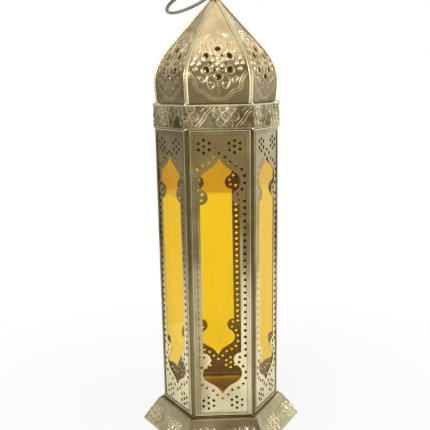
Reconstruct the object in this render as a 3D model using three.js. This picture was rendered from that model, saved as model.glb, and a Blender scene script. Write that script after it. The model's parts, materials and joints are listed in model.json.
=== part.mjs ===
// Hexagonal lantern of pierced sheet metal and amber glass, with a ribbed onion dome.
// Millimetres, +Z up. The origin is at the middle of the underside, and the front panel faces -Y.
import * as THREE from 'three';

// Fits shared by the whole lantern
const seamGap = 0.3; // between pieces that touch when assembled
const channelGap = 0.25; // on each side of the glass and the pierced sheet in their channel

// Body: six panels round a hexagon that widens a little towards its top
const bodyCornerRadius = 55; // at the panels' foot
const bodyTopCornerRadius = 56.4;
const panelHeight = 255.5;

// Panel frames: folded channel, open towards the pane
const channelWall = 0.35;
const sideBarWidth = 4.3;
const topBarWidth = 4.4;
const bottomBarWidth = 2.7;

// Pane and pierced sheet
const glassThickness = 1;
const sheetThickness = 0.4;

// Window cut in each pierced sheet: a pointed arch over a pinched neck, alike at both ends
const windowSideMargin = 8.9; // from the frame's outer edge to the straight side
const windowTipMargin = 22.9; // from the frame's end to the point of the arch
const archOverhang = 0.5; // how far the arch is wider than the straight sides, each side
const archRise = 19; // from the widest part of the arch to its point
const neckLobeDrop = 32; // from the point of the arch to the middle of the neck's lobes
const neckLobeRadius = 6.4;
const neckLobeOverlap = 0.3; // the lobes' middles stand this far inside the straight sides
const neckLobeStart = 118.5; // degrees round the lobe at which it leaves the arch

// Flowers of seven round holes near the corners of each sheet
const flowerMargin = 13.1; // from the frame's outer edges to the flower's middle
const flowerPitch = 5.2;
const flowerHoleDiameter = 2.2;
const flowerPetals = 6;
const holeSides = 6;

// Base skirt, with its corner radii
const footRadius = 74.5;
const footHem = 1.2;
const footLip = 2.6;
const skirtShoulderRadius = 60;
const skirtShoulderHeight = 20.5;
const skirtTopRadius = 56.2;
const skirtHeight = 22.1;
const skirtWall = 0.8;

// Floor plate: a pressed tray whose rim lies on the skirt and carries the panels
const floorPlateWall = 0.6;
const floorDepth = 3;
const floorRimRadius = 55.6;
const floorTrayRadius = 50.6;

// Frieze band between the panels and the dome
const friezeRadius = 56.5;
const friezeHeight = 20.9;
const friezeWall = 0.8;
const friezeFlangeRadius = 50;

// Dome: corner radii and heights above its foot
const domeFootRadius = 53;
const domeBellyRadius = 54.4;
const domeBellyHeight = 19;
const domeShoulderRadius = 38.7;
const domeShoulderHeight = 50;
const domeHeight = 92.5; // to the point where its straight sides would meet
const domeTopRadius = 4;
const domeWall = 0.7;
const ribHalfWidth = 2.1;
const ribWall = 0.6;

// Apex cap, hanging eye and ring
const capHeight = 9.2;
const capFlangeRadius = 6.2;
const capNeckRadius = 2.5;
const capPlugRadius = 2.3;
const capPlugDepth = 4;
const capSides = 12;
const eyeInnerRadius = 4.2;
const eyeWire = 2.2;
const ringMeanRadius = 24.4;
const ringWire = 2.9;
const ringSide = 156; // degrees round +Z from +X, the side on which the ring lies
const ringDrop = 27.5; // degrees below level at which it lies

// Door hinges: two leaves with a rolled knuckle each, and a wire pin
const hingeFromEnd = 42; // from the end of the door to the middle of a hinge
const knuckleHeight = 9;
const knuckleRadius = 1.6;
const hingePinRadius = 0.6;
const hingeRunningGap = 0.25;
const hingeLeafWall = 0.5;
const hingeLeafReach = 4.1; // from the leaf's edge to the frame's outer edge
const hingeStandOff = 1.2; // hinge line outside the body's corner edge
const pinHeadRadius = 1.3;
const pinHeadHeight = 0.8;

// Latch on the other side of the door: a wire hook between two headed posts
const latchHeight = 127.8; // above the foot of the door
const latchSpan = 7; // from post to post
const latchPostRadius = 0.7;
const latchFootRadius = 1.1;
const latchFootHeight = 0.5;
const latchHeadRadius = 1.2;
const latchHeadHeight = 0.6;
const latchWire = 1.2;
const latchEyeTurn = 270; // degrees of wire round the post
const latchHookTurn = 120; // degrees of wire over the stud

// Sides and steps of the round pieces
const wireSides = 8;
const eyeSteps = 20;
const ringSteps = 40;
const pinSides = 10;
const postSides = 8;
const knuckleSteps = 14;
const hookSides = 6;
const hookSteps = 30;

const metalLight = new THREE.MeshStandardMaterial({ color: 0xcfc7a8, roughness: 0.38, metalness: 0.9 });
const metalWarm = new THREE.MeshStandardMaterial({ color: 0xb9a878, roughness: 0.35, metalness: 0.9 });
const metalDark = new THREE.MeshStandardMaterial({ color: 0x8d8468, roughness: 0.45, metalness: 0.9 });
const amberGlass = new THREE.MeshStandardMaterial({
  color: 0xf0b414,
  roughness: 0.05,
  metalness: 0,
  transparent: true,
  opacity: 0.6,
});

// Hexagon: flats towards the panels, corners between them
const panelCount = 6;
const panelTurn = Math.PI / 3;
const cornerTurn = panelTurn / 2;
const flatRatio = Math.cos(cornerTurn); // distance to a flat for a corner radius of 1
const bodyFlat = bodyCornerRadius * flatRatio;
const panelNames = ['front', 'front_right', 'rear_right', 'rear', 'rear_left', 'front_left'];
const doorPanel = 3;

// Depths in the channel, inwards from the frame's outer face
const sheetDepth = channelWall + channelGap;
const glassDepth = sheetDepth + sheetThickness + channelGap;
const frameDepth = glassDepth + glassThickness + channelGap + channelWall;
const frameHalfWidth = (bodyFlat - frameDepth) * Math.tan(cornerTurn) - seamGap / 2 / flatRatio;

// Heights above the table
const floorRimTop = skirtHeight + seamGap + floorPlateWall;
const floorTop = floorRimTop - floorDepth;
const panelBottom = floorRimTop + seamGap;
const panelTop = panelBottom + panelHeight;
const friezeBottom = panelTop + seamGap;
const friezeTop = friezeBottom + friezeHeight;
const domeFoot = friezeTop + seamGap;
const straightRatio = domeShoulderRadius / (domeHeight - domeShoulderHeight);
const domeTop = domeFoot + domeHeight - domeTopRadius / straightRatio;
const capSeat = domeTop + seamGap;
const capTop = capSeat + capHeight;
const eyeMeanRadius = eyeInnerRadius + eyeWire / 2;
const eyeMiddle = capTop + seamGap + eyeWire / 2 + eyeMeanRadius;
const ringHang = eyeMiddle - eyeInnerRadius + seamGap + ringWire / 2;

const lantern = new THREE.Group();
lantern.name = 'moroccan_lantern';

function addMesh(parent, name, geometry, material) {
  const mesh = new THREE.Mesh(geometry, material);
  mesh.name = name;
  parent.add(mesh);
  return mesh;
}

// A group turned about the lantern's axis, so that what it holds faces the given panel.
function facing(turns) {
  const group = new THREE.Group();
  group.rotation.z = turns * panelTurn;
  lantern.add(group);
  return group;
}

// A round outline with a set number of sides, as a hole or a section.
function roundOutline(radius, sides, x = 0, y = 0, OutlineClass = THREE.Path) {
  const points = Array.from({ length: sides }, (_, i) => {
    const angle = (i / sides) * Math.PI * 2;
    return new THREE.Vector2(x + radius * Math.cos(angle), y + radius * Math.sin(angle));
  });
  return new OutlineClass(points);
}

// A hexagonal or round turned piece: its profile holds [corner radius, height] pairs, outer side upwards.
function turned(profile, sides = panelCount) {
  const points = profile.map(([radius, height]) => new THREE.Vector2(radius, height));
  const geometry = new THREE.LatheGeometry(points, sides, Math.PI / sides);
  return geometry.rotateX(Math.PI / 2);
}

// A skin through a row of loops of points. Each loop runs along the outer side and back along the inner side.
function skinned(loops, joinsItself) {
  const size = loops[0].length;
  const positions = loops.flat().flatMap((point) => point.toArray());
  const index = [];
  const spans = joinsItself ? loops.length : loops.length - 1;
  for (let i = 0; i < spans; i += 1) {
    const here = i * size;
    const next = ((i + 1) % loops.length) * size;
    for (let j = 0; j < size; j += 1) {
      const k = (j + 1) % size;
      index.push(here + j, here + k, next + k, here + j, next + k, next + j);
    }
  }
  if (!joinsItself) {
    const last = (loops.length - 1) * size;
    for (let j = 0; j < size / 2 - 1; j += 1) {
      const across = size - 1 - j;
      index.push(across, across - 1, j + 1, across, j + 1, j);
      index.push(last + j, last + j + 1, last + across - 1, last + j, last + across - 1, last + across);
    }
  }
  const geometry = new THREE.BufferGeometry();
  geometry.setAttribute('position', new THREE.Float32BufferAttribute(positions, 3));
  geometry.setIndex(index);
  geometry.computeVertexNormals();
  return geometry;
}

// How many times wider the body is at a height than at the panels' foot.
function widening(height) {
  return THREE.MathUtils.mapLinear(height, panelBottom, panelTop, 1, bodyTopCornerRadius / bodyCornerRadius);
}

// Carries a piece drawn on a straight body over to the widening one. It is placed at the given height later.
function widened(geometry, placedAt = 0) {
  const position = geometry.getAttribute('position');
  for (let i = 0; i < position.count; i += 1) {
    const share = widening(position.getZ(i) + placedAt);
    position.setXY(i, position.getX(i) * share, position.getY(i) * share);
  }
  geometry.computeVertexNormals();
  return geometry;
}

// A panel piece is drawn from the outside, x across and y up from the panel's foot. It is then stood up
// with its outer face the given depth behind the body's flat.
function standUp(geometry, depth) {
  return widened(geometry.rotateX(Math.PI / 2).translate(0, depth - bodyFlat, panelBottom));
}

function extruded(shape, thickness) {
  const geometry = new THREE.ExtrudeGeometry(shape, { depth: thickness, bevelEnabled: false });
  return geometry.translate(0, 0, -thickness);
}

// Frame: the channel's section carried round the panel's rectangle, with mitred corners.
function frameGeometry() {
  const section = [
    ['edge', 0],
    ['lip', 0],
    ['lip', channelWall],
    ['web', channelWall],
    ['web', frameDepth - channelWall],
    ['lip', frameDepth - channelWall],
    ['lip', frameDepth],
    ['edge', frameDepth],
  ];
  const inset = (part, barWidth) => ({ edge: 0, web: channelWall, lip: barWidth })[part];
  const corners = [
    [-1, 0, bottomBarWidth],
    [-1, 1, topBarWidth],
    [1, 1, topBarWidth],
    [1, 0, bottomBarWidth],
  ];
  const loops = corners.map(([side, end, barWidth]) =>
    section.map(([part, depth]) => {
      const x = side * (frameHalfWidth - inset(part, sideBarWidth));
      const y = end ? panelHeight - inset(part, barWidth) : inset(part, barWidth);
      return new THREE.Vector3(x, y, -depth);
    }),
  );
  return standUp(skinned(loops, true), 0);
}

// Half width and height of what lies in the channel
const paneHalfWidth = frameHalfWidth - channelWall - channelGap;
const paneInset = channelWall + channelGap;

function paneOutline() {
  return new THREE.Shape([
    new THREE.Vector2(-paneHalfWidth, paneInset),
    new THREE.Vector2(paneHalfWidth, paneInset),
    new THREE.Vector2(paneHalfWidth, panelHeight - paneInset),
    new THREE.Vector2(-paneHalfWidth, panelHeight - paneInset),
  ]);
}

// Upper right quarter of the window, from the point of the arch down to the middle of the side.
// x is across from the panel's middle line and y is up from its middle.
function windowQuarter() {
  const side = frameHalfWidth - windowSideMargin;
  const arch = side + archOverhang;
  const tip = panelHeight / 2 - windowTipMargin;
  const shoulder = tip - archRise;
  const lobeX = side - neckLobeOverlap;
  const lobeY = tip - neckLobeDrop;
  const lobeStart = THREE.MathUtils.degToRad(neckLobeStart);
  const lobeEnd = Math.PI * 1.5 + Math.asin(neckLobeOverlap / neckLobeRadius);
  const curve = new THREE.Path();
  curve.moveTo(0, tip);
  curve.bezierCurveTo(
    arch * 0.145, tip - archRise * 0.24,
    arch * 0.32, tip - archRise * 0.385,
    arch * 0.55, tip - archRise * 0.495,
  );
  curve.bezierCurveTo(
    arch * 0.84, tip - archRise * 0.63,
    arch, tip - archRise * 0.76,
    arch, shoulder,
  );
  const neckStartX = lobeX + neckLobeRadius * Math.cos(lobeStart);
  const neckStartY = lobeY + neckLobeRadius * Math.sin(lobeStart);
  const neckDrop = shoulder - neckStartY;
  curve.bezierCurveTo(
    arch, shoulder - neckDrop * 0.46,
    THREE.MathUtils.lerp(neckStartX, arch, 0.66), neckStartY + neckDrop * 0.22,
    neckStartX, neckStartY,
  );
  const bends = curve.getPoints(3);
  const lobe = new THREE.Path().absarc(lobeX, lobeY, neckLobeRadius, lobeStart, lobeEnd, false);
  return [...bends, ...lobe.getPoints(7).slice(1)];
}

function windowOutline() {
  const quarter = windowQuarter();
  const half = [...quarter, ...quarter.map(({ x, y }) => new THREE.Vector2(x, -y)).reverse()];
  const whole = [...half, ...half.slice(1, -1).map(({ x, y }) => new THREE.Vector2(-x, y)).reverse()];
  return new THREE.Path(whole.map(({ x, y }) => new THREE.Vector2(x, y + panelHeight / 2)));
}

function flowerHoles() {
  const holes = [];
  const radius = flowerHoleDiameter / 2;
  const middleX = frameHalfWidth - flowerMargin;
  for (const side of [-1, 1]) {
    for (const middleY of [flowerMargin, panelHeight - flowerMargin]) {
      holes.push(roundOutline(radius, holeSides, side * middleX, middleY));
      for (let petal = 0; petal < flowerPetals; petal += 1) {
        const angle = Math.PI / 2 + (petal / flowerPetals) * Math.PI * 2;
        const x = side * middleX + flowerPitch * Math.cos(angle);
        const y = middleY + flowerPitch * Math.sin(angle);
        holes.push(roundOutline(radius, holeSides, x, y));
      }
    }
  }
  return holes;
}

function sheetGeometry() {
  const shape = paneOutline();
  shape.holes.push(windowOutline(), ...flowerHoles());
  return standUp(extruded(shape, sheetThickness), sheetDepth);
}

function glassGeometry() {
  return standUp(extruded(paneOutline(), glassThickness), glassDepth);
}

for (let k = 0; k < panelCount; k += 1) {
  const side = facing(k);
  const name = k === doorPanel ? 'door' : panelNames[k];
  addMesh(side, `${name}_frame`, frameGeometry(), metalLight);
  addMesh(side, `${name}_sheet`, sheetGeometry(), metalLight);
  addMesh(side, `${name}_glass`, glassGeometry(), amberGlass);
}

// Base skirt: a flange under the floor plate, a gentle shoulder, a steep flare and a turned-in foot.
addMesh(
  lantern,
  'base_skirt',
  turned([
    [footRadius - footLip, 0],
    [footRadius, 0],
    [footRadius, footHem],
    [skirtShoulderRadius, skirtShoulderHeight],
    [skirtTopRadius, skirtHeight],
    [floorTrayRadius + floorPlateWall * 2, skirtHeight],
    [floorTrayRadius + floorPlateWall * 2, skirtHeight - skirtWall],
    [skirtTopRadius - skirtWall / 2, skirtHeight - skirtWall],
    [skirtShoulderRadius - skirtWall / 2, skirtShoulderHeight - skirtWall],
    [footRadius - skirtWall, skirtWall],
    [footRadius - footLip, skirtWall],
    [footRadius - footLip, 0],
  ]),
  metalLight,
);

// Floor plate: a flat tray, a short wall and the rim that the panels stand on.
addMesh(
  lantern,
  'floor_plate',
  turned([
    [0, floorTop - floorPlateWall],
    [floorTrayRadius, floorTop - floorPlateWall],
    [floorTrayRadius + floorPlateWall, floorTop],
    [floorTrayRadius + floorPlateWall, floorRimTop - floorPlateWall],
    [floorRimRadius, floorRimTop - floorPlateWall],
    [floorRimRadius, floorRimTop],
    [floorTrayRadius, floorRimTop],
    [floorTrayRadius - floorPlateWall, floorTop],
    [0, floorTop],
  ]),
  metalDark,
);

// Frieze band: a channel, open inwards, whose flanges lie on the panels and carry the dome.
addMesh(
  lantern,
  'frieze_band',
  turned([
    [friezeFlangeRadius, friezeBottom],
    [friezeRadius, friezeBottom],
    [friezeRadius, friezeTop],
    [friezeFlangeRadius, friezeTop],
    [friezeFlangeRadius, friezeTop - friezeWall],
    [friezeRadius - friezeWall, friezeTop - friezeWall],
    [friezeRadius - friezeWall, friezeBottom + friezeWall],
    [friezeFlangeRadius, friezeBottom + friezeWall],
    [friezeFlangeRadius, friezeBottom],
  ]),
  metalWarm,
);

// The dome's corner line: two smooth curves from the foot to the shoulder, then a straight side.
function domeLine() {
  const straight = new THREE.Vector2(-domeShoulderRadius, domeHeight - domeShoulderHeight).normalize();
  const foot = new THREE.Vector2(domeFootRadius, 0);
  const belly = new THREE.Vector2(domeBellyRadius, domeBellyHeight);
  const shoulder = new THREE.Vector2(domeShoulderRadius, domeShoulderHeight);
  const bellyLean = new THREE.Vector2(-0.03, 1);
  const shoulderReach = (domeShoulderHeight - domeBellyHeight) * 0.35;
  const lower = new THREE.CubicBezierCurve(
    foot,
    new THREE.Vector2(THREE.MathUtils.lerp(domeFootRadius, domeBellyRadius, 0.6), domeBellyHeight * 0.4),
    belly.clone().addScaledVector(bellyLean, -domeBellyHeight * 0.3),
    belly,
  );
  const upper = new THREE.CubicBezierCurve(
    belly,
    belly.clone().addScaledVector(bellyLean, (domeShoulderHeight - domeBellyHeight) * 0.42),
    shoulder.clone().addScaledVector(straight, -shoulderReach),
    shoulder,
  );
  const top = new THREE.Vector2(domeTopRadius, domeTop - domeFoot);
  return [...lower.getPoints(3), ...upper.getPoints(5).slice(1), top];
}

// One gore lies between two corner lines, with half a seam left free at each.
function goreGeometry() {
  const corner = (radius, side, height) =>
    new THREE.Vector3(side * (radius / 2 - seamGap / 2 / flatRatio), -radius * flatRatio, height);
  const loops = domeLine().map(({ x: radius, y }) => {
    const height = domeFoot + y;
    const inner = radius - domeWall / flatRatio;
    return [
      corner(radius, -1, height),
      corner(radius, 1, height),
      corner(inner, 1, height),
      corner(inner, -1, height),
    ];
  });
  return skinned(loops, false);
}

// One rib lies over a corner line and laps both of its gores.
function ribGeometry() {
  const lap = (radius, side, width, height) =>
    new THREE.Vector3(side * width * flatRatio, -radius + width * Math.sin(cornerTurn), height);
  const loops = domeLine().map(({ x: radius, y }) => {
    const height = domeFoot + y;
    const inner = radius + seamGap / flatRatio;
    const outer = inner + ribWall / flatRatio;
    const width = Math.min(ribHalfWidth, radius / 2 - seamGap);
    return [
      lap(outer, -1, width, height),
      lap(outer, 0, 0, height),
      lap(outer, 1, width, height),
      lap(inner, 1, width, height),
      lap(inner, 0, 0, height),
      lap(inner, -1, width, height),
    ];
  });
  return skinned(loops, false);
}

for (let k = 0; k < panelCount; k += 1) {
  addMesh(facing(k), `dome_gore_${panelNames[k]}`, goreGeometry(), metalWarm);
  addMesh(facing(k + 0.5), `dome_rib_${k + 1}`, ribGeometry(), metalLight);
}

// Apex cap: a plug inside the gores, a flange over the ribs' ends, and a waisted knob.
addMesh(
  lantern,
  'apex_cap',
  turned(
    [
      [0, capSeat - capPlugDepth],
      [capPlugRadius, capSeat - capPlugDepth],
      [capPlugRadius, capSeat],
      [capFlangeRadius, capSeat],
      [capFlangeRadius - 0.4, capSeat + capHeight * 0.13],
      [capNeckRadius + 0.7, capSeat + capHeight * 0.36],
      [capNeckRadius, capSeat + capHeight * 0.5],
      [capNeckRadius + 1.2, capSeat + capHeight * 0.68],
      [capNeckRadius + 1.2, capSeat + capHeight * 0.82],
      [capNeckRadius - 0.3, capTop],
      [0, capTop],
    ],
    capSides,
  ),
  metalWarm,
);

function wireLoop(meanRadius, wire, steps) {
  return new THREE.TorusGeometry(meanRadius, wire / 2, wireSides, steps);
}

// The eye stands upright and the ring hangs in it. Both share the ring's level swing axis.
const swing = new THREE.Group();
swing.rotation.z = THREE.MathUtils.degToRad(ringSide);
lantern.add(swing);
const eye = addMesh(swing, 'hanging_eye', wireLoop(eyeMeanRadius, eyeWire, eyeSteps), metalLight);
eye.rotation.x = Math.PI / 2;
eye.position.z = eyeMiddle;
const ring = addMesh(swing, 'hanging_ring', wireLoop(ringMeanRadius, ringWire, ringSteps), metalDark);
const drop = THREE.MathUtils.degToRad(ringDrop);
ring.rotation.y = drop;
ring.position.set(ringMeanRadius * Math.cos(drop), 0, ringHang - ringMeanRadius * Math.sin(drop));

// Hinge leaf, seen from above: a flat strip on the frame's face that rolls into the knuckle.
// x runs along the face and y out of it, from the lantern's axis.
const hingeLineX = (bodyCornerRadius + hingeStandOff) * Math.sin(cornerTurn);
const hingeLineY = (bodyCornerRadius + hingeStandOff) * flatRatio;
const leafInnerFace = bodyFlat + seamGap;
const leafOuterFace = leafInnerFace + hingeLeafWall;

function leafGeometry() {
  const innerDrop = hingeLineY - leafInnerFace;
  const outerDrop = hingeLineY - leafOuterFace;
  const leafEdge = frameHalfWidth - hingeLeafReach;
  const start = Math.PI + Math.asin(innerDrop / knuckleRadius);
  const end = Math.PI + Math.asin(outerDrop / knuckleRadius) + Math.PI * 2;
  const shape = new THREE.Shape();
  shape.moveTo(leafEdge, leafOuterFace);
  shape.lineTo(leafEdge, leafInnerFace);
  for (let i = 0; i <= knuckleSteps; i += 1) {
    const angle = THREE.MathUtils.lerp(start, end, i / knuckleSteps);
    shape.lineTo(hingeLineX + knuckleRadius * Math.cos(angle), hingeLineY + knuckleRadius * Math.sin(angle));
  }
  shape.holes.push(roundOutline(hingePinRadius + hingeRunningGap, pinSides, hingeLineX, hingeLineY));
  return new THREE.ExtrudeGeometry(shape, { depth: knuckleHeight, bevelEnabled: false });
}

// In a panel's group, whose outside is -Y, a leaf on its right turns half round; one on its left is mirrored.
function addLeaf(name, panel, side, height) {
  const leaf = addMesh(facing(panel), name, widened(leafGeometry(), height), metalLight);
  leaf.scale.set(side, -1, 1);
  leaf.position.z = height;
}

const hinges = {
  lower: panelBottom + hingeFromEnd,
  upper: panelTop - hingeFromEnd,
};

for (const [name, middle] of Object.entries(hinges)) {
  const foot = middle - seamGap / 2 - knuckleHeight;
  const head = middle + seamGap * 1.5 + knuckleHeight;
  addLeaf(`${name}_hinge_fixed_leaf`, doorPanel + 1, -1, foot);
  addLeaf(`${name}_hinge_door_leaf`, doorPanel, 1, middle + seamGap / 2);
  const pin = turned(
    [
      [0, foot],
      [hingePinRadius, foot],
      [hingePinRadius, head],
      [pinHeadRadius, head],
      [pinHeadRadius, head + pinHeadHeight],
      [0, head + pinHeadHeight],
    ],
    pinSides,
  );
  pin.translate(0, -(bodyCornerRadius + hingeStandOff), 0);
  addMesh(facing(doorPanel + 0.5), `${name}_hinge_pin`, widened(pin), metalDark);
}

// Latch at the door's other corner. Posts stand out along that corner's radius, one on each frame.
const latchCorner = facing(doorPanel - 0.5);
const latchZ = panelBottom + latchHeight;
const latchHalfSpan = latchSpan / 2;
const latchCornerRadius = bodyCornerRadius * widening(latchZ);
const postStart = latchCornerRadius - (latchHalfSpan - latchFootRadius) * Math.tan(cornerTurn) + seamGap;
const hookPlane = postStart + latchFootHeight + seamGap + latchWire / 2;
const postHead = hookPlane + latchWire / 2 + seamGap;

function postGeometry() {
  return turned(
    [
      [0, 0],
      [latchFootRadius, 0],
      [latchFootRadius, latchFootHeight],
      [latchPostRadius, latchFootHeight],
      [latchPostRadius, postHead - postStart],
      [latchHeadRadius, postHead - postStart],
      [latchHeadRadius, postHead - postStart + latchHeadHeight],
      [0, postHead - postStart + latchHeadHeight],
    ],
    postSides,
  ).rotateX(Math.PI / 2);
}

for (const [name, side] of [['latch_post', -1], ['latch_stud', 1]]) {
  const post = addMesh(latchCorner, name, postGeometry(), metalDark);
  post.position.set(side * latchHalfSpan, -postStart, latchZ);
}

// Hook, drawn closed with x towards the stud and y up: an open eye round the post, a straight shank
// tangent to it, and a bend over the stud.
const latchBend = latchPostRadius + seamGap + latchWire / 2;

class HookLine extends THREE.Curve {
  constructor() {
    super();
    this.eyeTurn = THREE.MathUtils.degToRad(latchEyeTurn);
    this.hookTurn = THREE.MathUtils.degToRad(latchHookTurn);
    this.eyeLength = this.eyeTurn * latchBend;
    this.length = this.eyeLength + latchSpan + this.hookTurn * latchBend;
  }

  getPoint(t, target = new THREE.Vector3()) {
    const along = t * this.length;
    if (along < this.eyeLength) {
      const angle = Math.PI / 2 + this.eyeTurn - along / latchBend;
      return target.set(latchBend * Math.cos(angle), latchBend * Math.sin(angle), 0);
    }
    if (along < this.eyeLength + latchSpan) {
      return target.set(along - this.eyeLength, latchBend, 0);
    }
    const angle = Math.PI / 2 - (along - this.eyeLength - latchSpan) / latchBend;
    return target.set(latchSpan + latchBend * Math.cos(angle), latchBend * Math.sin(angle), 0);
  }
}

const hookSection = roundOutline(latchWire / 2, hookSides, 0, 0, THREE.Shape);
const hookGeometry = new THREE.ExtrudeGeometry(hookSection, {
  steps: hookSteps,
  bevelEnabled: false,
  extrudePath: new HookLine(),
});
// At rest the hook hangs straight down from its post.
const hook = addMesh(latchCorner, 'latch_hook', hookGeometry.rotateX(Math.PI / 2), metalDark);
hook.rotation.y = Math.PI / 2;
hook.position.set(-latchHalfSpan, -hookPlane, latchZ);

export default lantern;
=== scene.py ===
"""A hexagonal hanging lantern of pierced and embossed sheet metal with amber glass.

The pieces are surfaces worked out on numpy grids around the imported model. Lengths in the panel's
properties are metres, as in the frame. Inside the shape functions they are millimetres.
"""

import json
import math

import bpy
import numpy as np
from bpy.props import FloatProperty, FloatVectorProperty, IntProperty, PointerProperty
from mathutils import Matrix, Vector


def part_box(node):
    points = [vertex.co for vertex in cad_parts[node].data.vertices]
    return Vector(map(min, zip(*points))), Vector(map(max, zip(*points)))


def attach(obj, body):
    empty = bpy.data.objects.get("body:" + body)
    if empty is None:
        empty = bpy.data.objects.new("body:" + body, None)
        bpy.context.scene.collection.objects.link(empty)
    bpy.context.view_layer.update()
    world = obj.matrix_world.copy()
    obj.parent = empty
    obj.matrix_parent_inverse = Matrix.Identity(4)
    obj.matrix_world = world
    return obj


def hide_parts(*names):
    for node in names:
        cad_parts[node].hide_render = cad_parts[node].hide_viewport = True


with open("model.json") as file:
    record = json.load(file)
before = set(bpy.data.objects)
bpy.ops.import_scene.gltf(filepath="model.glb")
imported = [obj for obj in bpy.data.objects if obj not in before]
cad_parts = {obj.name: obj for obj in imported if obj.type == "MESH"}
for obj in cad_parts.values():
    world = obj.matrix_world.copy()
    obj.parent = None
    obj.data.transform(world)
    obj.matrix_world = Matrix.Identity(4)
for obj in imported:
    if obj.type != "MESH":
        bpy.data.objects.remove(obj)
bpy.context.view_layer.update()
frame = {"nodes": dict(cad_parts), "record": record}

bl_info = {
    "name": "Hexagonal Lantern",
    "version": (1, 0, 0),
    "blender": (4, 5, 0),
    "location": "3D View > Sidebar > Lantern",
    "description": "Builds a pierced metal lantern with amber panes around its packed model",
    "category": "Object",
}

MM = 0.001
PANELS = ("front", "front_right", "rear_right", "door", "rear_left", "front_left")
DOOR = PANELS.index("door")
SIDES = len(PANELS)
FLAT = math.cos(math.pi / SIDES)


# Sizes read from the frame, in millimetres

def box_mm(node):
    """Lowest and highest corner of a CAD node in millimetres."""
    low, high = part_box(node)
    return np.array(low) / MM, np.array(high) / MM


FRAME_LOW, FRAME_HIGH = box_mm("front_frame")
SHEET_LOW, SHEET_HIGH = box_mm("front_sheet")
GLASS_LOW, GLASS_HIGH = box_mm("front_glass")
SKIRT_HIGH = box_mm("base_skirt")[1]
FLOOR_LOW, FLOOR_HIGH = box_mm("floor_plate")
FRIEZE_LOW, FRIEZE_HIGH = box_mm("frieze_band")
GORE_LOW = box_mm("dome_gore_front")[0]
CAP_LOW, CAP_HIGH = box_mm("apex_cap")
EYE_LOW, EYE_HIGH = box_mm("hanging_eye")
RING_LOW, RING_HIGH = box_mm("hanging_ring")
PANEL_FOOT = FRAME_LOW[2]
PANEL_TOP = FRAME_HIGH[2]
PANEL_HEIGHT = PANEL_TOP - PANEL_FOOT
PANEL_MIDDLE = (PANEL_FOOT + PANEL_TOP) / 2
BODY_FOOT_RADIUS = 55.0
BODY_TOP_RADIUS = 56.4
JOINTS = {joint["name"]: joint for joint in frame["record"]["behaviour"]["joints"]}


def widening(height):
    """How many times wider the body is at a height than at the panels' foot."""
    share = (np.asarray(height, float) - PANEL_FOOT) / PANEL_HEIGHT
    return 1 + (BODY_TOP_RADIUS / BODY_FOOT_RADIUS - 1) * share


def straightened(low, high):
    """Half width of a piece of the front panel and how far its outer and its inner face lie from the
    lantern's axis, all three as they would be at the panels' foot."""
    return high[0] / widening(high[2]), -low[1] / widening(high[2]), -high[1] / widening(low[2])


FRAME_HALF, BODY_FLAT, FRAME_BACK = straightened(FRAME_LOW, FRAME_HIGH)
SHEET_HALF, SHEET_FRONT, SHEET_BACK = straightened(SHEET_LOW, SHEET_HIGH)
GLASS_HALF, GLASS_FRONT, GLASS_BACK = straightened(GLASS_LOW, GLASS_HIGH)
FRAME_DEPTH = BODY_FLAT - FRAME_BACK


# Sizes and colours that a user would change

def measure(name, description, default):
    """A length that a user may change."""
    return FloatProperty(name=name, description=description, default=default, unit="LENGTH")


def tint(name, description, default):
    """A colour that a user may change."""
    return FloatVectorProperty(
        name=name, description=description, subtype="COLOR", size=3, default=default, min=0.0, max=1.0)


class LanternPanelSizes(bpy.types.PropertyGroup):
    side_margin: measure(
        "Window side margin", "From the frame's edge to the window's straight side", 0.0089)
    tip_margin: measure("Window tip margin", "From the frame's end to the point of the arch", 0.0229)
    arch_rise: measure("Arch rise", "From the widest part of the arch to its point", 0.019)
    arch_overhang: measure(
        "Arch overhang", "How far the arch is wider than the straight sides, each side", 0.0005)
    lobe_drop: measure("Lobe drop", "From the point of the arch to the neck's lobes", 0.032)
    lobe_radius: measure("Lobe radius", "Radius of the round lobes that pinch the neck", 0.0064)
    hole_diameter: measure("Hole diameter", "Diameter of the punched holes with their worn rims", 0.00245)
    flower_margin: measure("Flower margin", "From the frame's edges to the middle of a flower", 0.0131)
    flower_pitch: measure("Flower pitch", "From a flower's middle hole to its petals' holes", 0.0052)
    window_drop: measure(
        "Window drop", "How far the window's neck and foot sit below their even places", 0.0011)
    punch_spread: measure("Punch spread", "How far a hand-punched hole strays from its mark", 0.00013)


class LanternReliefSizes(bpy.types.PropertyGroup):
    band_height: measure("Band relief", "Height of the stamped rosettes and swooshes", 0.00055)
    dome_height: measure("Dome relief", "Height of the stamped ornament of the gores", 0.0010)
    frieze_repeats: IntProperty(
        name="Frieze repeats", description="Times that the stamp goes round the frieze",
        default=10, min=1)
    skirt_repeats: IntProperty(
        name="Skirt repeats", description="Times that the stamp goes round the base skirt",
        default=11, min=1)
    waviness: measure("Waviness", "How far the thin metal bows out of true", 0.00012)


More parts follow.
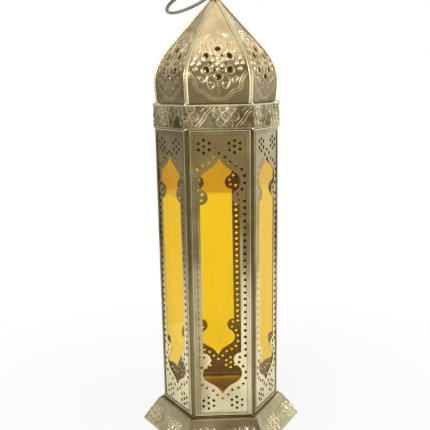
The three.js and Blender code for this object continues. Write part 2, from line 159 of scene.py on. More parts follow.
class LanternFinish(bpy.types.PropertyGroup):
    # Bright metal is the sheets' colour where no shade is painted, as on their lower part.
    bright: tint("Bright metal", "Rubbed metal of the panels' lower part", (0.98, 0.87, 0.53))
    # Painted shade: the next colour is what the sheets' painted shade turns them to, darkest on their upper
    # part.
    shaded: tint("Deep metal", "Metal of the panels' smoky upper part", (0.235, 0.178, 0.070))
    # Painted shade: the folded bars turn from this colour towards the next by their painted shade, one
    # amount for each bar.
    bar: tint("Frame metal", "Rubbed metal of the folded bars", (0.97, 0.87, 0.54))
    bar_shaded: tint("Deep frame metal", "Metal of the bars' dark side", (0.19, 0.135, 0.045))
    aged: tint("Aged metal", "Tarnish in hollows and folds", (0.105, 0.072, 0.026))
    # Painted light: the dome turns from the olive foot to the golden top by each gore's painted tones, and
    # the frieze and the base are olive where painted darker.
    golden: tint("Golden metal", "Warm metal of the dome's upper part", (0.92, 0.73, 0.41))
    olive: tint("Olive metal", "Metal of the dome's foot, the frieze and the base", (0.25, 0.195, 0.10))
    stamped: tint("Stamped metal", "Raised lines of the frieze and the base", (0.80, 0.70, 0.43))
    wire: tint("Wire", "Dull wire of the ring and the pins", (0.42, 0.39, 0.28))
    solder: tint("Solder", "Beads of solder", (0.80, 0.79, 0.74))
    # Soot and painted shade: inner faces turn from the first of these two colours to the second by the
    # painted tone of their outside, darkest near the top.
    inside: tint("Inside", "Metal inside the lantern, near its floor", (0.40, 0.31, 0.21))
    soot_and_shade: tint("Soot", "Smoked metal inside the lantern, near its top", (0.29, 0.038, 0.020))
    # Painted light: the dome's inside is bright, so that its holes look lit by the amber light from below.
    raw_and_lit: tint("Raw metal", "Clean metal inside the dome", (0.85, 0.58, 0.22))
    amber: tint("Amber glass", "Colour of light through one pane", (0.93, 0.725, 0.07))
    smoked: tint("Smoked glass", "Colour through the sooty top of a pane", (0.775, 0.535, 0.020))
    # A painted reflection low on one pane; on the pane behind, the same paler colour beside and below its
    # window.
    clear: tint("Clear glass", "Colour through a pane where its sheet has kept it clean", (1.0, 0.96, 0.85))
    # Painted shade: the colour of the holes' walls and of the thin patches before the front panes, which
    # make the punched holes look dark.
    hole_shade_colour: tint("Grime", "Burnt dirt between the panes and the punched holes", (0.05, 0.009, 0.003))
    # Partly solder and partly painted shade: these two colours darken the grooves between the frames and
    # the upright bars' folds.
    seam: tint("Seam", "Dark solder in the seams between the frames", (0.27, 0.215, 0.095))
    groove: tint("Groove", "Bottom of the seams between the frames", (0.085, 0.060, 0.018))


class LanternStudio(bpy.types.PropertyGroup):
    floor_colour: tint("Floor", "Colour of the plain floor", (0.92, 0.92, 0.92))
    world_level: FloatProperty(
        name="World level", description="Strength of the plain light all round", default=0.55, min=0.0)
    key_power: FloatProperty(
        name="Key light", description="Power of the large light in front", default=5.0, unit="POWER")


def millimetres(metres):
    return metres / MM


# Arrays of points

def hexagon_corner(turn):
    """Unit corner directions. Turn 0 is the corner left of the front panel, and each step goes one
    panel on."""
    angle = math.radians(-120) + np.asarray(turn, float) * (2 * math.pi / SIDES)
    return np.stack([np.cos(angle), np.sin(angle)], -1)


def round_hexagon(turn, radius):
    """Points on a hexagon. turn counts faces from the front panel's left corner; radius is the corner
    radius. A point is the straight mix of the two corners at the ends of its face."""
    turn = np.asarray(turn, float)
    face = np.floor(turn)
    share = (turn - face)[..., None]
    corner = hexagon_corner(face) * (1 - share) + hexagon_corner(face + 1) * share
    return corner * np.asarray(radius, float)[..., None]


def carried_round(profile, columns):
    """The turns, corner radii and heights of a profile carried round a hexagon, with a number of
    columns to each face."""
    turn = np.arange(SIDES * columns) / columns
    return turn, *(np.repeat(profile[:, i][:, None], len(turn), 1) for i in (0, 1))


def hexagon_rows(turn, radius, height):
    """Rows of points on a hexagon from their turns, corner radii and heights."""
    plan = round_hexagon(np.broadcast_to(turn, radius.shape), radius)
    return np.concatenate([plan, height[..., None]], -1)


def on_panel(panel, across, depth, height):
    """Points of a panel: across runs to the right seen from outside, depth runs inwards from the
    frame's face, and height is above the table."""
    angle = panel * 2 * math.pi / SIDES
    out = np.array([math.sin(angle), -math.cos(angle)])
    along = np.array([math.cos(angle), math.sin(angle)])
    across, depth, height = np.broadcast_arrays(*(np.asarray(v, float) for v in (across, depth, height)))
    flat = (BODY_FLAT - depth)[..., None] * out + across[..., None] * along
    return np.concatenate([flat * widening(height)[..., None], height[..., None]], -1)


def bezier(start, lean, pull, end, steps):
    """A cubic curve through its two end points, leaning on the two others."""
    t = np.linspace(0, 1, steps + 1)[:, None]
    points = [np.array(p, float) for p in (start, lean, pull, end)]
    return ((1 - t) ** 3 * points[0] + 3 * (1 - t) ** 2 * t * points[1]
            + 3 * (1 - t) * t ** 2 * points[2] + t ** 3 * points[3])


def arc(middle, radius, start, end, steps):
    """Points of a circular arc, from one angle to another in degrees."""
    angle = np.radians(np.linspace(start, end, steps + 1))
    return np.stack([middle[0] + radius * np.cos(angle), middle[1] + radius * np.sin(angle)], -1)


def smooth_line(points, steps):
    """A soft line through given points: each stretch is a cubic whose slope at a point is half
    the step between its neighbours."""
    p = np.array(points, float)
    ends = np.concatenate([[2 * p[0] - p[1]], p, [2 * p[-1] - p[-2]]])
    t = np.linspace(0, 1, steps, endpoint=False)[:, None]
    spans = []
    for a, b, c, d in zip(ends[:-3], ends[1:-2], ends[2:-1], ends[3:]):
        spans.append(0.5 * (2 * b + (c - a) * t + (2 * a - 5 * b + 4 * c - d) * t ** 2
                            + (3 * b - a - 3 * c + d) * t ** 3))
    return np.concatenate(spans + [p[-1:]])


def even_steps(line, count):
    """The same line again with its points at equal distances along it."""
    step = np.linalg.norm(np.diff(line, axis=0), axis=1)
    along = np.concatenate([[0], np.cumsum(step)])
    wanted = np.linspace(0, along[-1], count)
    return np.stack([np.interp(wanted, along, line[:, i]) for i in range(line.shape[1])], -1)


def distance_to_line(x, y, line):
    """Shortest distance from each grid point to a line of straight stretches."""
    nearest = np.full(x.shape, 1e9)
    for (ax, ay), (bx, by) in zip(line[:-1], line[1:]):
        dx, dy = bx - ax, by - ay
        length = max(dx * dx + dy * dy, 1e-12)
        share = np.clip(((x - ax) * dx + (y - ay) * dy) / length, 0, 1)
        nearest = np.minimum(nearest, np.hypot(x - ax - share * dx, y - ay - share * dy))
    return nearest


def ridge(distance, width):
    """A rounded ridge: a bell curve of the distance from its crest."""
    return np.exp(-(distance / width) ** 2)


def ripple(x, y, seed):
    """Slow hand-made unevenness from -1 to 1: four sine waves that lie across each other."""
    rng = np.random.default_rng(seed)
    total = np.zeros(np.broadcast(x, y).shape)
    for _ in range(4):
        turn, phase = rng.uniform(0, math.pi), rng.uniform(0, 2 * math.pi)
        wave = rng.uniform(14, 34)
        total += np.sin((x * math.cos(turn) + y * math.sin(turn)) * 2 * math.pi / wave + phase)
    return total / 4


# Meshes

def mesh_piece(name, points, faces, materials, body, replaces=(), relief=None, tone=None, kinds=None,
               sharp=38):
    """Puts points in millimetres and their faces into a new piece and rides it on its body. relief
    and tone are numbers per point for its materials, and kinds tells which of them a face has."""
    mesh = bpy.data.meshes.new(name)
    mesh.from_pydata(np.asarray(points, float).reshape(-1, 3) * MM, [], faces)
    mesh.update()
    for label, values in (("relief", relief), ("tone", tone)):
        if values is not None:
            layer = mesh.attributes.new(label, "FLOAT", "POINT")
            spread_out = np.broadcast_to(np.asarray(values, np.float32).ravel(), (len(mesh.vertices),))
            layer.data.foreach_set("value", np.ascontiguousarray(spread_out))
    mesh.shade_smooth()
    mesh.set_sharp_from_angle(angle=math.radians(sharp))
    for label in materials:
        mesh.materials.append(material_named(label))
    if kinds is not None:
        mesh.polygons.foreach_set("material_index", np.asarray(kinds, np.int32))
    piece = bpy.data.objects.new(name, mesh)
    bpy.context.scene.collection.objects.link(piece)
    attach(piece, body)
    if replaces:
        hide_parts(*replaces)
    return piece


def soft_step(value, low, high):
    """Rises from 0 at low to 1 at high with level ends."""
    share = np.clip((value - low) / (high - low), 0, 1)
    return share * share * (3 - 2 * share)


def grid_faces(rows, columns, close_rows=False, close_columns=False, start=0):
    """Four-sided faces between neighbouring points of a grid, row after row."""
    i = np.arange(rows if close_rows else rows - 1)[:, None]
    j = np.arange(columns if close_columns else columns - 1)[None, :]
    i2, j2 = (i + 1) % rows, (j + 1) % columns
    quads = np.stack([i * columns + j, i * columns + j2, i2 * columns + j2, i2 * columns + j], -1)
    return quads.reshape(-1, 4) + start


def cap_face(columns, start, turned_over=False):
    """One face over a closed row of points."""
    ring = list(range(start, start + columns))
    return tuple(reversed(ring)) if turned_over else tuple(ring)


def joined(parts):
    """Points and faces of several closed surfaces as one, every face turned outwards."""
    points, faces, count = [], [], 0
    for some, around in parts:
        faces += [tuple(k + count for k in f) for f in outward(some, around)]
        points.append(some)
        count += len(some)
    return np.concatenate(points), faces


def closed_tube(loops):
    """Points and faces of a tube: a row of closed sections with a face over each end."""
    loops = np.asarray(loops, float)
    rows, columns = loops.shape[:2]
    faces = [tuple(f) for f in grid_faces(rows, columns, close_columns=True)]
    faces.append(cap_face(columns, 0, turned_over=True))
    faces.append(cap_face(columns, (rows - 1) * columns))
    return loops.reshape(-1, 3), faces


def outward(points, faces):
    """Turns every face over if the closed surface encloses a negative volume."""
    points = np.asarray(points, float).reshape(-1, 3)
    volume = 0.0
    for face in faces:
        p = points[list(face)]
        volume += np.sum(np.cross(p[1:-1], p[2:]) @ p[0])
    return faces if volume > 0 else [tuple(reversed(tuple(f))) for f in faces]


def wire(line, radius, sides):
    """Sections of a closed loop of wire: a circle carried along a line. Its frame keeps one axis as
    level as it can, by taking away from the last frame's axis whatever points along the line."""
    ahead = np.roll(line, -1, 0) - np.roll(line, 1, 0)
    ahead /= np.linalg.norm(ahead, axis=1)[:, None]
    side = np.cross(ahead[0], [0.31, 0.17, 0.93])
    sections = []
    angle = np.arange(sides) * 2 * math.pi / sides
    for point, way in zip(line, ahead):
        side = side - way * (side @ way)
        side /= np.linalg.norm(side)
        up = np.cross(way, side)
        sections.append(point + radius * (np.outer(np.cos(angle), side) + np.outer(np.sin(angle), up)))
    return np.array(sections)


def turned(profile, steps):
    """A round turned surface: the profile's radii and heights swept through a full turn."""
    profile = np.asarray(profile, float)
    angle = np.arange(steps) * 2 * math.pi / steps
    radius, height = profile[:, 0][:, None], profile[:, 1][:, None]
    x, y = radius * np.cos(angle), radius * np.sin(angle)
    return np.stack([x, y, np.broadcast_to(height, x.shape)], -1)


# Ornament

ROSETTE_RADIUS = 3.3
INNER_RING = 0.48
RING_GROOVE = 0.76
CLUSTER = ((22.0, 18.4), (28.9, 17.6), (16.4, 13.4), (23.9, 11.6), (31.6, 10.7), (19.5, 6.1), (26.6, 4.6))
SWOOSH = ((0.0, 2.6), (4.6, 7.6), (8.3, 13.6), (13.6, 18.4))
SPRIG = ((3.8, 15.4), (6.2, 17.4), (9.6, 18.6))
BAND_HEIGHT = 20.9


def stamped_band(x, z, period):
    """Relief of the stamped band. x runs along the band and repeats, z runs up it. A rosette is two
    rings round a dot: the sum of bell curves at its radius, at about half of it, and at its middle. A
    swoosh is a pair of ridges either side of a soft line, and a sprig is one thin ridge."""
    x = np.mod(x, period)
    height = np.zeros(np.broadcast(x, z).shape)
    for shift in (-period, 0.0, period):
        for rx, rz in CLUSTER:
            d = np.hypot(x - rx - shift, z - rz)
            near = d < ROSETTE_RADIUS * 1.7
            rings = ridge(d - ROSETTE_RADIUS, 0.45) + 0.7 * ridge(d - ROSETTE_RADIUS * INNER_RING, 0.36)
            rings += 0.9 * ridge(d, 0.5) - 0.3 * ridge(d - ROSETTE_RADIUS * RING_GROOVE, 0.4)
            height = np.where(near, np.maximum(height, rings), height)
        swoosh = distance_to_line(x - shift, z, smooth_line(SWOOSH, 5))
        pair = 0.85 * ridge(swoosh - 1.1, 0.42) - 0.3 * ridge(swoosh, 0.5)
        height = np.where(swoosh < 2.6, np.maximum(height, pair), height)
        sprig = distance_to_line(x - shift, z, smooth_line(SPRIG, 4))
        height = np.maximum(height, 0.7 * ridge(sprig, 0.5))
    return height


FLOWER = (0.0, 33.0)
PETAL_REACH = 6.0
SMALL_HOLES = 6.6
LARGE_HOLES = 11.3
CARTOUCHE = ((0.0, 3.5), (5.0, 4.2), (9.2, 6.4), (13.2, 10.4), (18.0, 12.3), (19.4, 18.6), (23.3, 25.2))
SCROLL = ((4.6, 23.6), (8.2, 21.8), (9.7, 18.2), (8.6, 14.0), (5.8, 12.4), (3.6, 14.2), (4.4, 17.0),
          (6.4, 17.0))
TULIP = ((9.4, 49.4), (8.8, 46.0), (7.4, 43.0), (5.0, 40.6))
SPRAY = ((11.8, 48.4), (11.6, 45.6), (10.4, 43.0))
ARCH = ((12.4, 50.8), (9.6, 54.6), (5.4, 57.2), (0.0, 58.0))
STEM = ((0.0, 17.2), (0.7, 14.0), (0.8, 8.4))
LEAF = (13.8, 19.6, 38.0, 2.7, 1.5)
TREFOILS = ((18.4, 37.4), (15.6, 32.8), (18.4, 28.4), (0.0, 51.6), (4.4, 48.8), (20.6, 33.2), (14.2, 43.2))


def leaf_rim(x, z, middle_x, middle_z, turn, half_length, half_width):
    """How far a point is from the rim of an oval, as a share of the oval's width."""
    a = math.radians(turn)
    u = (x - middle_x) * math.cos(a) + (z - middle_z) * math.sin(a)
    v = (z - middle_z) * math.cos(a) - (x - middle_x) * math.sin(a)
    return (np.hypot(u / half_length, v / half_width) - 1) * half_width


def gore_relief(x, z):
    """Relief of a gore. x is across from its middle line and z is above its foot; both halves are
    alike. Its lines are bell-shaped ridges along soft curves, the cartouche is a pair of them, the
    flower's petals are domes round a boss, and the beads are small domes."""
    side = np.abs(x)
    radius = np.hypot(x - FLOWER[0], z - FLOWER[1])
    angle = np.arctan2(z - FLOWER[1], x - FLOWER[0])
    height = 1.25 * ridge(radius, 2.0)
    petal_angle = np.abs(np.mod(angle - math.pi / 6, math.pi / 3) - math.pi / 6)
    petal_turn = math.pi / 6 - petal_angle
    across = radius * np.sin(petal_turn)
    along = radius * np.cos(petal_turn) - PETAL_REACH * 0.78
    height = np.maximum(height, 0.95 * ridge(np.hypot(across / 1.5, along / 2.1), 1.0))
    hole_angle = math.pi / 6 - np.abs(np.mod(angle, math.pi / 3) - math.pi / 6)
    large = np.hypot(radius * np.cos(petal_turn) - LARGE_HOLES, radius * np.sin(petal_turn))
    height = np.maximum(height, 0.62 * ridge(large - 3.3, 0.75))
    small = np.hypot(radius * np.cos(hole_angle) - SMALL_HOLES, radius * np.sin(hole_angle))
    height = np.maximum(height, 0.4 * ridge(small - 1.4, 0.5))
    cartouche = distance_to_line(side, z, smooth_line(CARTOUCHE, 5))
    height = np.maximum(height, 0.38 * ridge(cartouche - 1.0, 0.75))
    for line, tall, wide in (
        (SCROLL, 0.55, 0.85), (TULIP, 1.05, 0.8), (SPRAY, 0.85, 0.7), (STEM, 0.35, 0.6),
    ):
        height = np.maximum(height, tall * ridge(distance_to_line(side, z, smooth_line(line, 5)), wide))
    arch = distance_to_line(side, z, smooth_line(ARCH, 5))
    height = np.maximum(height, np.maximum(0.8 * ridge(arch, 0.6), 0.5 * ridge(arch - 1.9, 0.5)))
    leaf = leaf_rim(side, z, *LEAF)
    height = np.maximum(height, 0.8 * ridge(leaf, 0.5))
    for bead_x, bead_z in TREFOILS:
        height = np.maximum(height, 1.15 * ridge(np.hypot(side - bead_x, z - bead_z), 1.5))
    return height


def gore_holes(x, z):
    """Signed distance to the gore's punched holes, below zero inside one. The large holes are rounded
    lozenges and the small ones narrow ovals, each pointing at the flower's boss."""
    radius = np.hypot(x - FLOWER[0], z - FLOWER[1])
    angle = np.arctan2(z - FLOWER[1], x - FLOWER[0])
    large_turn = np.mod(angle, math.pi / 3) - math.pi / 6
    small_turn = np.mod(angle + math.pi / 6, math.pi / 3) - math.pi / 6
    u = radius * np.cos(large_turn) - LARGE_HOLES
    v = radius * np.sin(large_turn)
    large = (np.abs(u / 2.2) ** 1.5 + np.abs(v / 2.6) ** 1.5) ** (1 / 1.5) - 1
    u = radius * np.cos(small_turn) - SMALL_HOLES
    v = radius * np.sin(small_turn)
    small = np.hypot(u / 1.15, v / 0.72) - 1
    return np.minimum(large * 2.35, small * 0.9)


BORDER_HOLES = (
    (0.0, 4.5), (4.75, 1.0), (8.5, -3.4), (13.8, -5.6), (18.3, -9.1), (20.6, -14.2),
    (20.7, -20.0), (18.45, -25.5), (14.65, -29.6), (15.6, -34.4), (20.5, -35.65),
)
BORDER_PITCH = 5.78


def window_outline(sizes):
    """The window of a sheet, from the panel's middle: cubic curves for the pointed arch and its
    shoulder, an arc for the neck's lobe and a straight side, mirrored both ways."""
    side = FRAME_HALF - millimetres(sizes.side_margin)
    arch = side + millimetres(sizes.arch_overhang)
    tip = PANEL_HEIGHT / 2 - millimetres(sizes.tip_margin)
    rise = millimetres(sizes.arch_rise)
    lobe_radius = millimetres(sizes.lobe_radius)
    shoulder = tip - rise
    lobe = (side - 0.3, tip - millimetres(sizes.lobe_drop))
    neck = arc(lobe, lobe_radius, 118.5, 272.7, 18)
    neck_drop = shoulder - neck[0, 1]
    upper = bezier((0, tip), (arch * 0.145, tip - rise * 0.24), (arch * 0.32, tip - rise * 0.385),
                   (arch * 0.55, tip - rise * 0.495), 10)
    middle = bezier(upper[-1], (arch * 0.84, tip - rise * 0.63), (arch, tip - rise * 0.76),
                    (arch, shoulder), 10)
    lower = bezier(middle[-1], (arch, shoulder - neck_drop * 0.46),
                   (neck[0, 0] + (arch - neck[0, 0]) * 0.66, neck[0, 1] + neck_drop * 0.22), neck[0], 8)
    quarter = np.concatenate([upper, middle[1:], lower[1:], neck[1:], [[side, 0]]])
    half = np.concatenate([quarter, (quarter * [1, -1])[-2::-1]])
    return dropped(np.concatenate([half, (half * [-1, 1])[-2:0:-1]]), sizes)


def dropped(points, sizes):
    """Points round the window moved down by the window's drop, less and less up the arch to its tip."""
    tip = PANEL_HEIGHT / 2 - millimetres(sizes.tip_margin)
    share = np.clip((tip - points[:, 1]) / millimetres(sizes.arch_rise), 0, 1)
    return points - np.stack([0 * share, millimetres(sizes.window_drop) * share], -1)


def hole_middles(sizes, row_shift):
    """Middles of the punched holes, from the panel's middle: the row round the window and the flowers.
    row_shift moves the straight rows' holes along."""
    tip = PANEL_HEIGHT / 2 - millimetres(sizes.tip_margin)
    border = [(x, tip + drop) for x, drop in BORDER_HOLES]
    last_x, last_y = border[-1]
    count = round(2 * last_y / BORDER_PITCH)
    column = [(last_x, last_y - i * 2 * last_y / count + row_shift) for i in range(1, count)]
    right = border[1:] + column + [(x, -y) for x, y in reversed(border[1:])]
    rows = dropped(np.array([border[0], (0.0, -border[0][1])] + right + [(-x, y) for x, y in right]), sizes)
    flowers = [rows]
    for middle in flower_middles(sizes):
        flowers += [middle[None], arc(middle, millimetres(sizes.flower_pitch), 90, 390, 5)]
    return np.concatenate(flowers)


def flower_middles(sizes):
    """Middles of the four flowers, from the panel's middle."""
    across = FRAME_HALF - millimetres(sizes.flower_margin)
    up = PANEL_HEIGHT / 2 - millimetres(sizes.flower_margin)
    return np.array([(sx * across, sy * up) for sx in (-1, 1) for sy in (-1, 1)])


# Materials

def node(tree, kind, **settings):
    made = tree.nodes.new(kind)
    for key, value in settings.items():
        setattr(made, key, value)
    return made


def noise(tree, vector, scale, detail, roughness=0.55):
    made = node(tree, "ShaderNodeTexNoise")
    made.inputs["Scale"].default_value = scale
    made.inputs["Detail"].default_value = detail
    made.inputs["Roughness"].default_value = roughness
    tree.links.new(vector, made.inputs["Vector"])
    return made.outputs["Fac"]


def arithmetic(tree, operation, a, b, clamp=False):
    made = node(tree, "ShaderNodeMath", operation=operation, use_clamp=clamp)
    for socket, value in zip(made.inputs, (a, b)):
        if isinstance(value, (int, float)):
            socket.default_value = value
        else:
            tree.links.new(value, socket)
    return made.outputs[0]


def spread(tree, value, low, high, to_low=0.0, to_high=1.0):
    """Stretches a value from one range to another and stops at its ends."""
    made = node(tree, "ShaderNodeMapRange")
    tree.links.new(value, made.inputs["Value"])
    for name, number in (("From Min", low), ("From Max", high), ("To Min", to_low), ("To Max", to_high)):
        made.inputs[name].default_value = number
    return made.outputs["Result"]


def blend_colours(tree, share, first, second):
    made = node(tree, "ShaderNodeMix", data_type="RGBA")
    tree.links.new(share, made.inputs[0])
    for socket, colour in ((made.inputs[6], first), (made.inputs[7], second)):
        if isinstance(colour, (tuple, list)):
            socket.default_value = (*colour, 1.0)
        else:
            tree.links.new(colour, socket)
    return made.outputs[2]


def new_group(name, inputs, outputs):
    """A shader node group with named sockets: each input is a name, a kind and a default."""
    group = bpy.data.node_groups.new(name, "ShaderNodeTree")
    for label, kind, default in inputs:
        socket = group.interface.new_socket(label, in_out="INPUT", socket_type=kind)
        socket.default_value = default
    for label, kind in outputs:
        group.interface.new_socket(label, in_out="OUTPUT", socket_type=kind)
    return group, node(group, "NodeGroupInput"), node(group, "NodeGroupOutput")


def finish():
    return bpy.context.scene.lantern_finish


def old_metal_group():
    """Old hand-worked metal. The tone attribute turns it from bright to its shaded colour, which on most
    pieces is painted shade. Dark tarnish gathers in hollows and in cloudy patches, raised lines are rubbed
    bright, and fine pits and broad dents break the reflections. The relief attribute also carries painted
    highlights and painted shade on some pieces."""
    if "old_metal" in bpy.data.node_groups:
        return bpy.data.node_groups["old_metal"]
    group, given, wanted = new_group(
        "old_metal",
        [("Bright", "NodeSocketColor", (0.8, 0.8, 0.8, 1.0)),
         ("Deep", "NodeSocketColor", (0.3, 0.3, 0.3, 1.0)),
         ("Aged", "NodeSocketColor", (0.1, 0.1, 0.1, 1.0)), ("Age", "NodeSocketFloat", 0.4),
         ("Hollows", "NodeSocketFloat", 0.5), ("Gloss", "NodeSocketFloat", 0.3),
         ("Dents", "NodeSocketFloat", 0.5)],
        [("Colour", "NodeSocketColor"), ("Roughness", "NodeSocketFloat"), ("Height", "NodeSocketFloat")])
    place = node(group, "ShaderNodeTexCoord").outputs["Object"]
    relief = node(group, "ShaderNodeAttribute", attribute_name="relief").outputs["Fac"]
    tone = node(group, "ShaderNodeAttribute", attribute_name="tone").outputs["Fac"]
    clouds = noise(group, place, 34.0, 5.0)
    mottle = noise(group, place, 230.0, 3.0)
    grain = noise(group, place, 1900.0, 2.0)
    dents = noise(group, place, 70.0, 2.0, 0.4)
    cloudy = spread(group, clouds, 0.34, 0.72)
    mottled = spread(group, mottle, 0.3, 0.75)
    # Tarnish in cloudy patches and hollows; through the relief attribute it also takes the painted shade
    # and highlights that some pieces give their points.
    dirt_and_shade = arithmetic(group, "ADD", arithmetic(group, "MULTIPLY", cloudy, 0.7),
                      arithmetic(group, "MULTIPLY", mottled, 0.45))
    dirt_and_shade = arithmetic(group, "MULTIPLY", dirt_and_shade, given.outputs["Age"])
    rubbed = arithmetic(group, "MULTIPLY", relief, given.outputs["Hollows"])
    dirt_and_shade = arithmetic(group, "SUBTRACT", dirt_and_shade, rubbed)
    dirt_and_shade = arithmetic(group, "ADD", dirt_and_shade, arithmetic(group, "MULTIPLY", grain, 0.12), clamp=True)
    shade = arithmetic(group, "ADD", tone, spread(group, clouds, 0.3, 0.7, -0.12, 0.12))
    raised = arithmetic(group, "MULTIPLY", arithmetic(group, "MAXIMUM", relief, 0.0), 0.75)
    shade = arithmetic(group, "SUBTRACT", shade, raised, clamp=True)
    ground = blend_colours(group, shade, given.outputs["Bright"], given.outputs["Deep"])
    colour = blend_colours(group, dirt_and_shade, ground, given.outputs["Aged"])
    group.links.new(colour, wanted.inputs["Colour"])
    rough = arithmetic(group, "ADD", given.outputs["Gloss"], arithmetic(group, "MULTIPLY", dirt_and_shade, 0.26))
    rough = arithmetic(group, "ADD", rough, spread(group, grain, 0.3, 0.7, -0.05, 0.07), clamp=True)
    group.links.new(rough, wanted.inputs["Roughness"])
    height = arithmetic(group, "MULTIPLY", dents, given.outputs["Dents"])
    height = arithmetic(group, "ADD", height, arithmetic(group, "MULTIPLY", grain, 0.035))
    height = arithmetic(group, "ADD", height, arithmetic(group, "MULTIPLY", mottle, 0.08))
    group.links.new(height, wanted.inputs["Height"])
    return group


# Each metal's bright and shaded colour, its age, how clean its raised parts are, its gloss and its dents.
# The tone that turns it to the shaded colour is painted shade on most pieces.
METALS = {
    "bar_brass": ("bar", "bar_shaded", 0.3, 0.55, 0.2, 0.8),
    "sheet_brass": ("bright", "shaded", 0.1, 0.3, 0.22, 1.0),
    "frieze_brass": ("stamped", "olive", 0.75, 0.65, 0.28, 0.5),
    "dome_brass": ("golden", "olive", 0.4, 0.55, 0.22, 0.5),
    # Painted light: bright inside the dome, as if lit from below.
    "dome_inside": ("raw_and_lit", "raw_and_lit", 0.2, 0.0, 0.45, 0.4),
    "rib_brass": ("bright", "golden", 0.3, 0.5, 0.2, 0.4),
    "base_brass": ("bright", "olive", 0.32, 0.5, 0.24, 0.8),
    "tray_brass": ("golden", "olive", 0.6, 0.2, 0.4, 0.7),
    "wire_steel": ("wire", "olive", 0.6, 0.0, 0.34, 0.3),
    "solder_tin": ("solder", "olive", 0.3, 0.0, 0.2, 0.5),
    "seam_solder_and_shade": ("seam", "groove", 0.2, 0.0, 0.5, 0.5),
    "hole_shade": ("hole_shade_colour", "hole_shade_colour", 0.0, 0.0, 0.7, 0.3),
    "soot_and_shade_inside": ("inside", "soot_and_shade", 0.12, 0.0, 0.7, 0.1),
}
SHADE_SOLDER_AND_SOOT = ("seam_solder_and_shade", "hole_shade", "soot_and_shade_inside")


def metal(name):
    """A material of the METALS table. It takes its colour, gloss and dents from the old-metal group.
    The dull coats of solder, soot and painted shade aren't metallic and hardly shine."""
    bright, shaded, *amounts = METALS[name]
    material = bpy.data.materials.new(name)
    material.use_nodes = True
    tree = material.node_tree
    shader = tree.nodes["Principled BSDF"]
    shader.inputs["Metallic"].default_value = 1.0
    if name in SHADE_SOLDER_AND_SOOT:
        shader.inputs["Metallic"].default_value = 0.0
        shader.inputs["Specular IOR Level"].default_value = 0.1
    worn_and_shaded = node(tree, "ShaderNodeGroup", node_tree=old_metal_group())
    for label, colour in (("Bright", bright), ("Deep", shaded), ("Aged", "aged")):
        worn_and_shaded.inputs[label].default_value = (*getattr(finish(), colour), 1.0)
    for label, amount in zip(("Age", "Hollows", "Gloss", "Dents"), amounts):
        worn_and_shaded.inputs[label].default_value = amount
    bump = node(tree, "ShaderNodeBump")
    bump.inputs["Strength"].default_value = 1.0
    bump.inputs["Distance"].default_value = 0.0006
    tree.links.new(worn_and_shaded.outputs["Colour"], shader.inputs["Base Color"])
    tree.links.new(worn_and_shaded.outputs["Roughness"], shader.inputs["Roughness"])
    tree.links.new(worn_and_shaded.outputs["Height"], bump.inputs["Height"])
    tree.links.new(bump.outputs["Normal"], shader.inputs["Normal"])
    return material


def pane_glass():
    """Amber glass with faint upright streaks and a slow swell. The tone attribute smokes it above zero
    and pales it towards the clear colour below zero, on one pane as a painted reflection."""
    material = bpy.data.materials.new("amber_pane")
    material.use_nodes = True
    tree = material.node_tree
    shader = tree.nodes["Principled BSDF"]
    shader.inputs["Transmission Weight"].default_value = 1.0
    shader.inputs["Roughness"].default_value = 0.0
    shader.inputs["IOR"].default_value = 1.28
    place = node(tree, "ShaderNodeTexCoord").outputs["Object"]
    stretch = node(tree, "ShaderNodeMapping")
    stretch.inputs["Scale"].default_value = (1.0, 1.0, 0.18)
    tree.links.new(place, stretch.inputs["Vector"])
    streaks = noise(tree, stretch.outputs["Vector"], 90.0, 3.0)
    amber = tuple(finish().amber)
    pale = tuple(min(1.0, c * 1.03) for c in amber)
    colour = blend_colours(tree, spread(tree, streaks, 0.35, 0.7), amber, pale)
    tone = node(tree, "ShaderNodeAttribute", attribute_name="tone").outputs["Fac"]
    colour = blend_colours(tree, tone, colour, tuple(finish().smoked))
    cleared = arithmetic(tree, "MULTIPLY", tone, -1.0, clamp=True)
    tree.links.new(blend_colours(tree, cleared, colour, tuple(finish().clear)), shader.inputs["Base Color"])
    swell = noise(tree, stretch.outputs["Vector"], 60.0, 1.0)
    bump = node(tree, "ShaderNodeBump")
    bump.inputs["Strength"].default_value = 0.5
    bump.inputs["Distance"].default_value = 0.0002
    tree.links.new(swell, bump.inputs["Height"])
    tree.links.new(bump.outputs["Normal"], shader.inputs["Normal"])
    return material


MATERIALS = {}


def material_named(name):
    """A material of that name, made when a piece first asks for it."""
    if name not in MATERIALS:
        MATERIALS[name] = metal(name) if name in METALS else pane_glass()
    return MATERIALS[name]


# Pieces

# One value or row for each panel, in the order of PANELS. A pair is for the panel's top and its foot,
# and a row of BAR_SHADES is for its foot, right, top and left bar.
# PANEL_SHADES, BAR_SHADES and SIDE_SHADES are painted shade; FOOT_SHADES makes the panels' foot a little
# darker.
PANEL_SHADES = (1.0, 0.68, 0.7, 0.85, 0.75, 0.82)
FOOT_SHADES = (0.2, 0.2, 0.2, 0.2, 0.2, 0.24)
BAR_SHADES = ((0.0, 0.0, 0.55, 0.6), (0.0, 0.3, 0.3, 0.9), (0.3, 0.4, 0.5, 0.6), (0.3, 0.5, 0.6, 0.5),
              (0.3, 0.6, 0.5, 0.4), (0.05, 0.5, 0.7, 0.6))
SMOKE_HEIGHTS = (226.0, 229.0, 219.0, 211.0, 219.0, 220.5)
SMOKE_AMOUNTS = (1.0, 0.5, 0.35, 1.0, 1.0, 1.0)
ROW_SHIFTS = (0.0, 0.0, 2.6, -0.9, 2.6, 0.0)
PUNCH_SHIFTS = ((-0.3, -0.1), (2.2, 1.5), (-2.0, -2.0), (1.7, 0.0), (2.0, 2.0), (-2.0, -0.3))
PUNCH_DROPS = ((0.8, 1.25), (1.0, 0.9), (1.0, 3.0), (1.0, 1.2), (1.0, 3.0), (-0.6, 2.2))
PUNCH_WIDTHS = (1.0, 0.92, 1.04, 1.0, 1.04, 0.97)
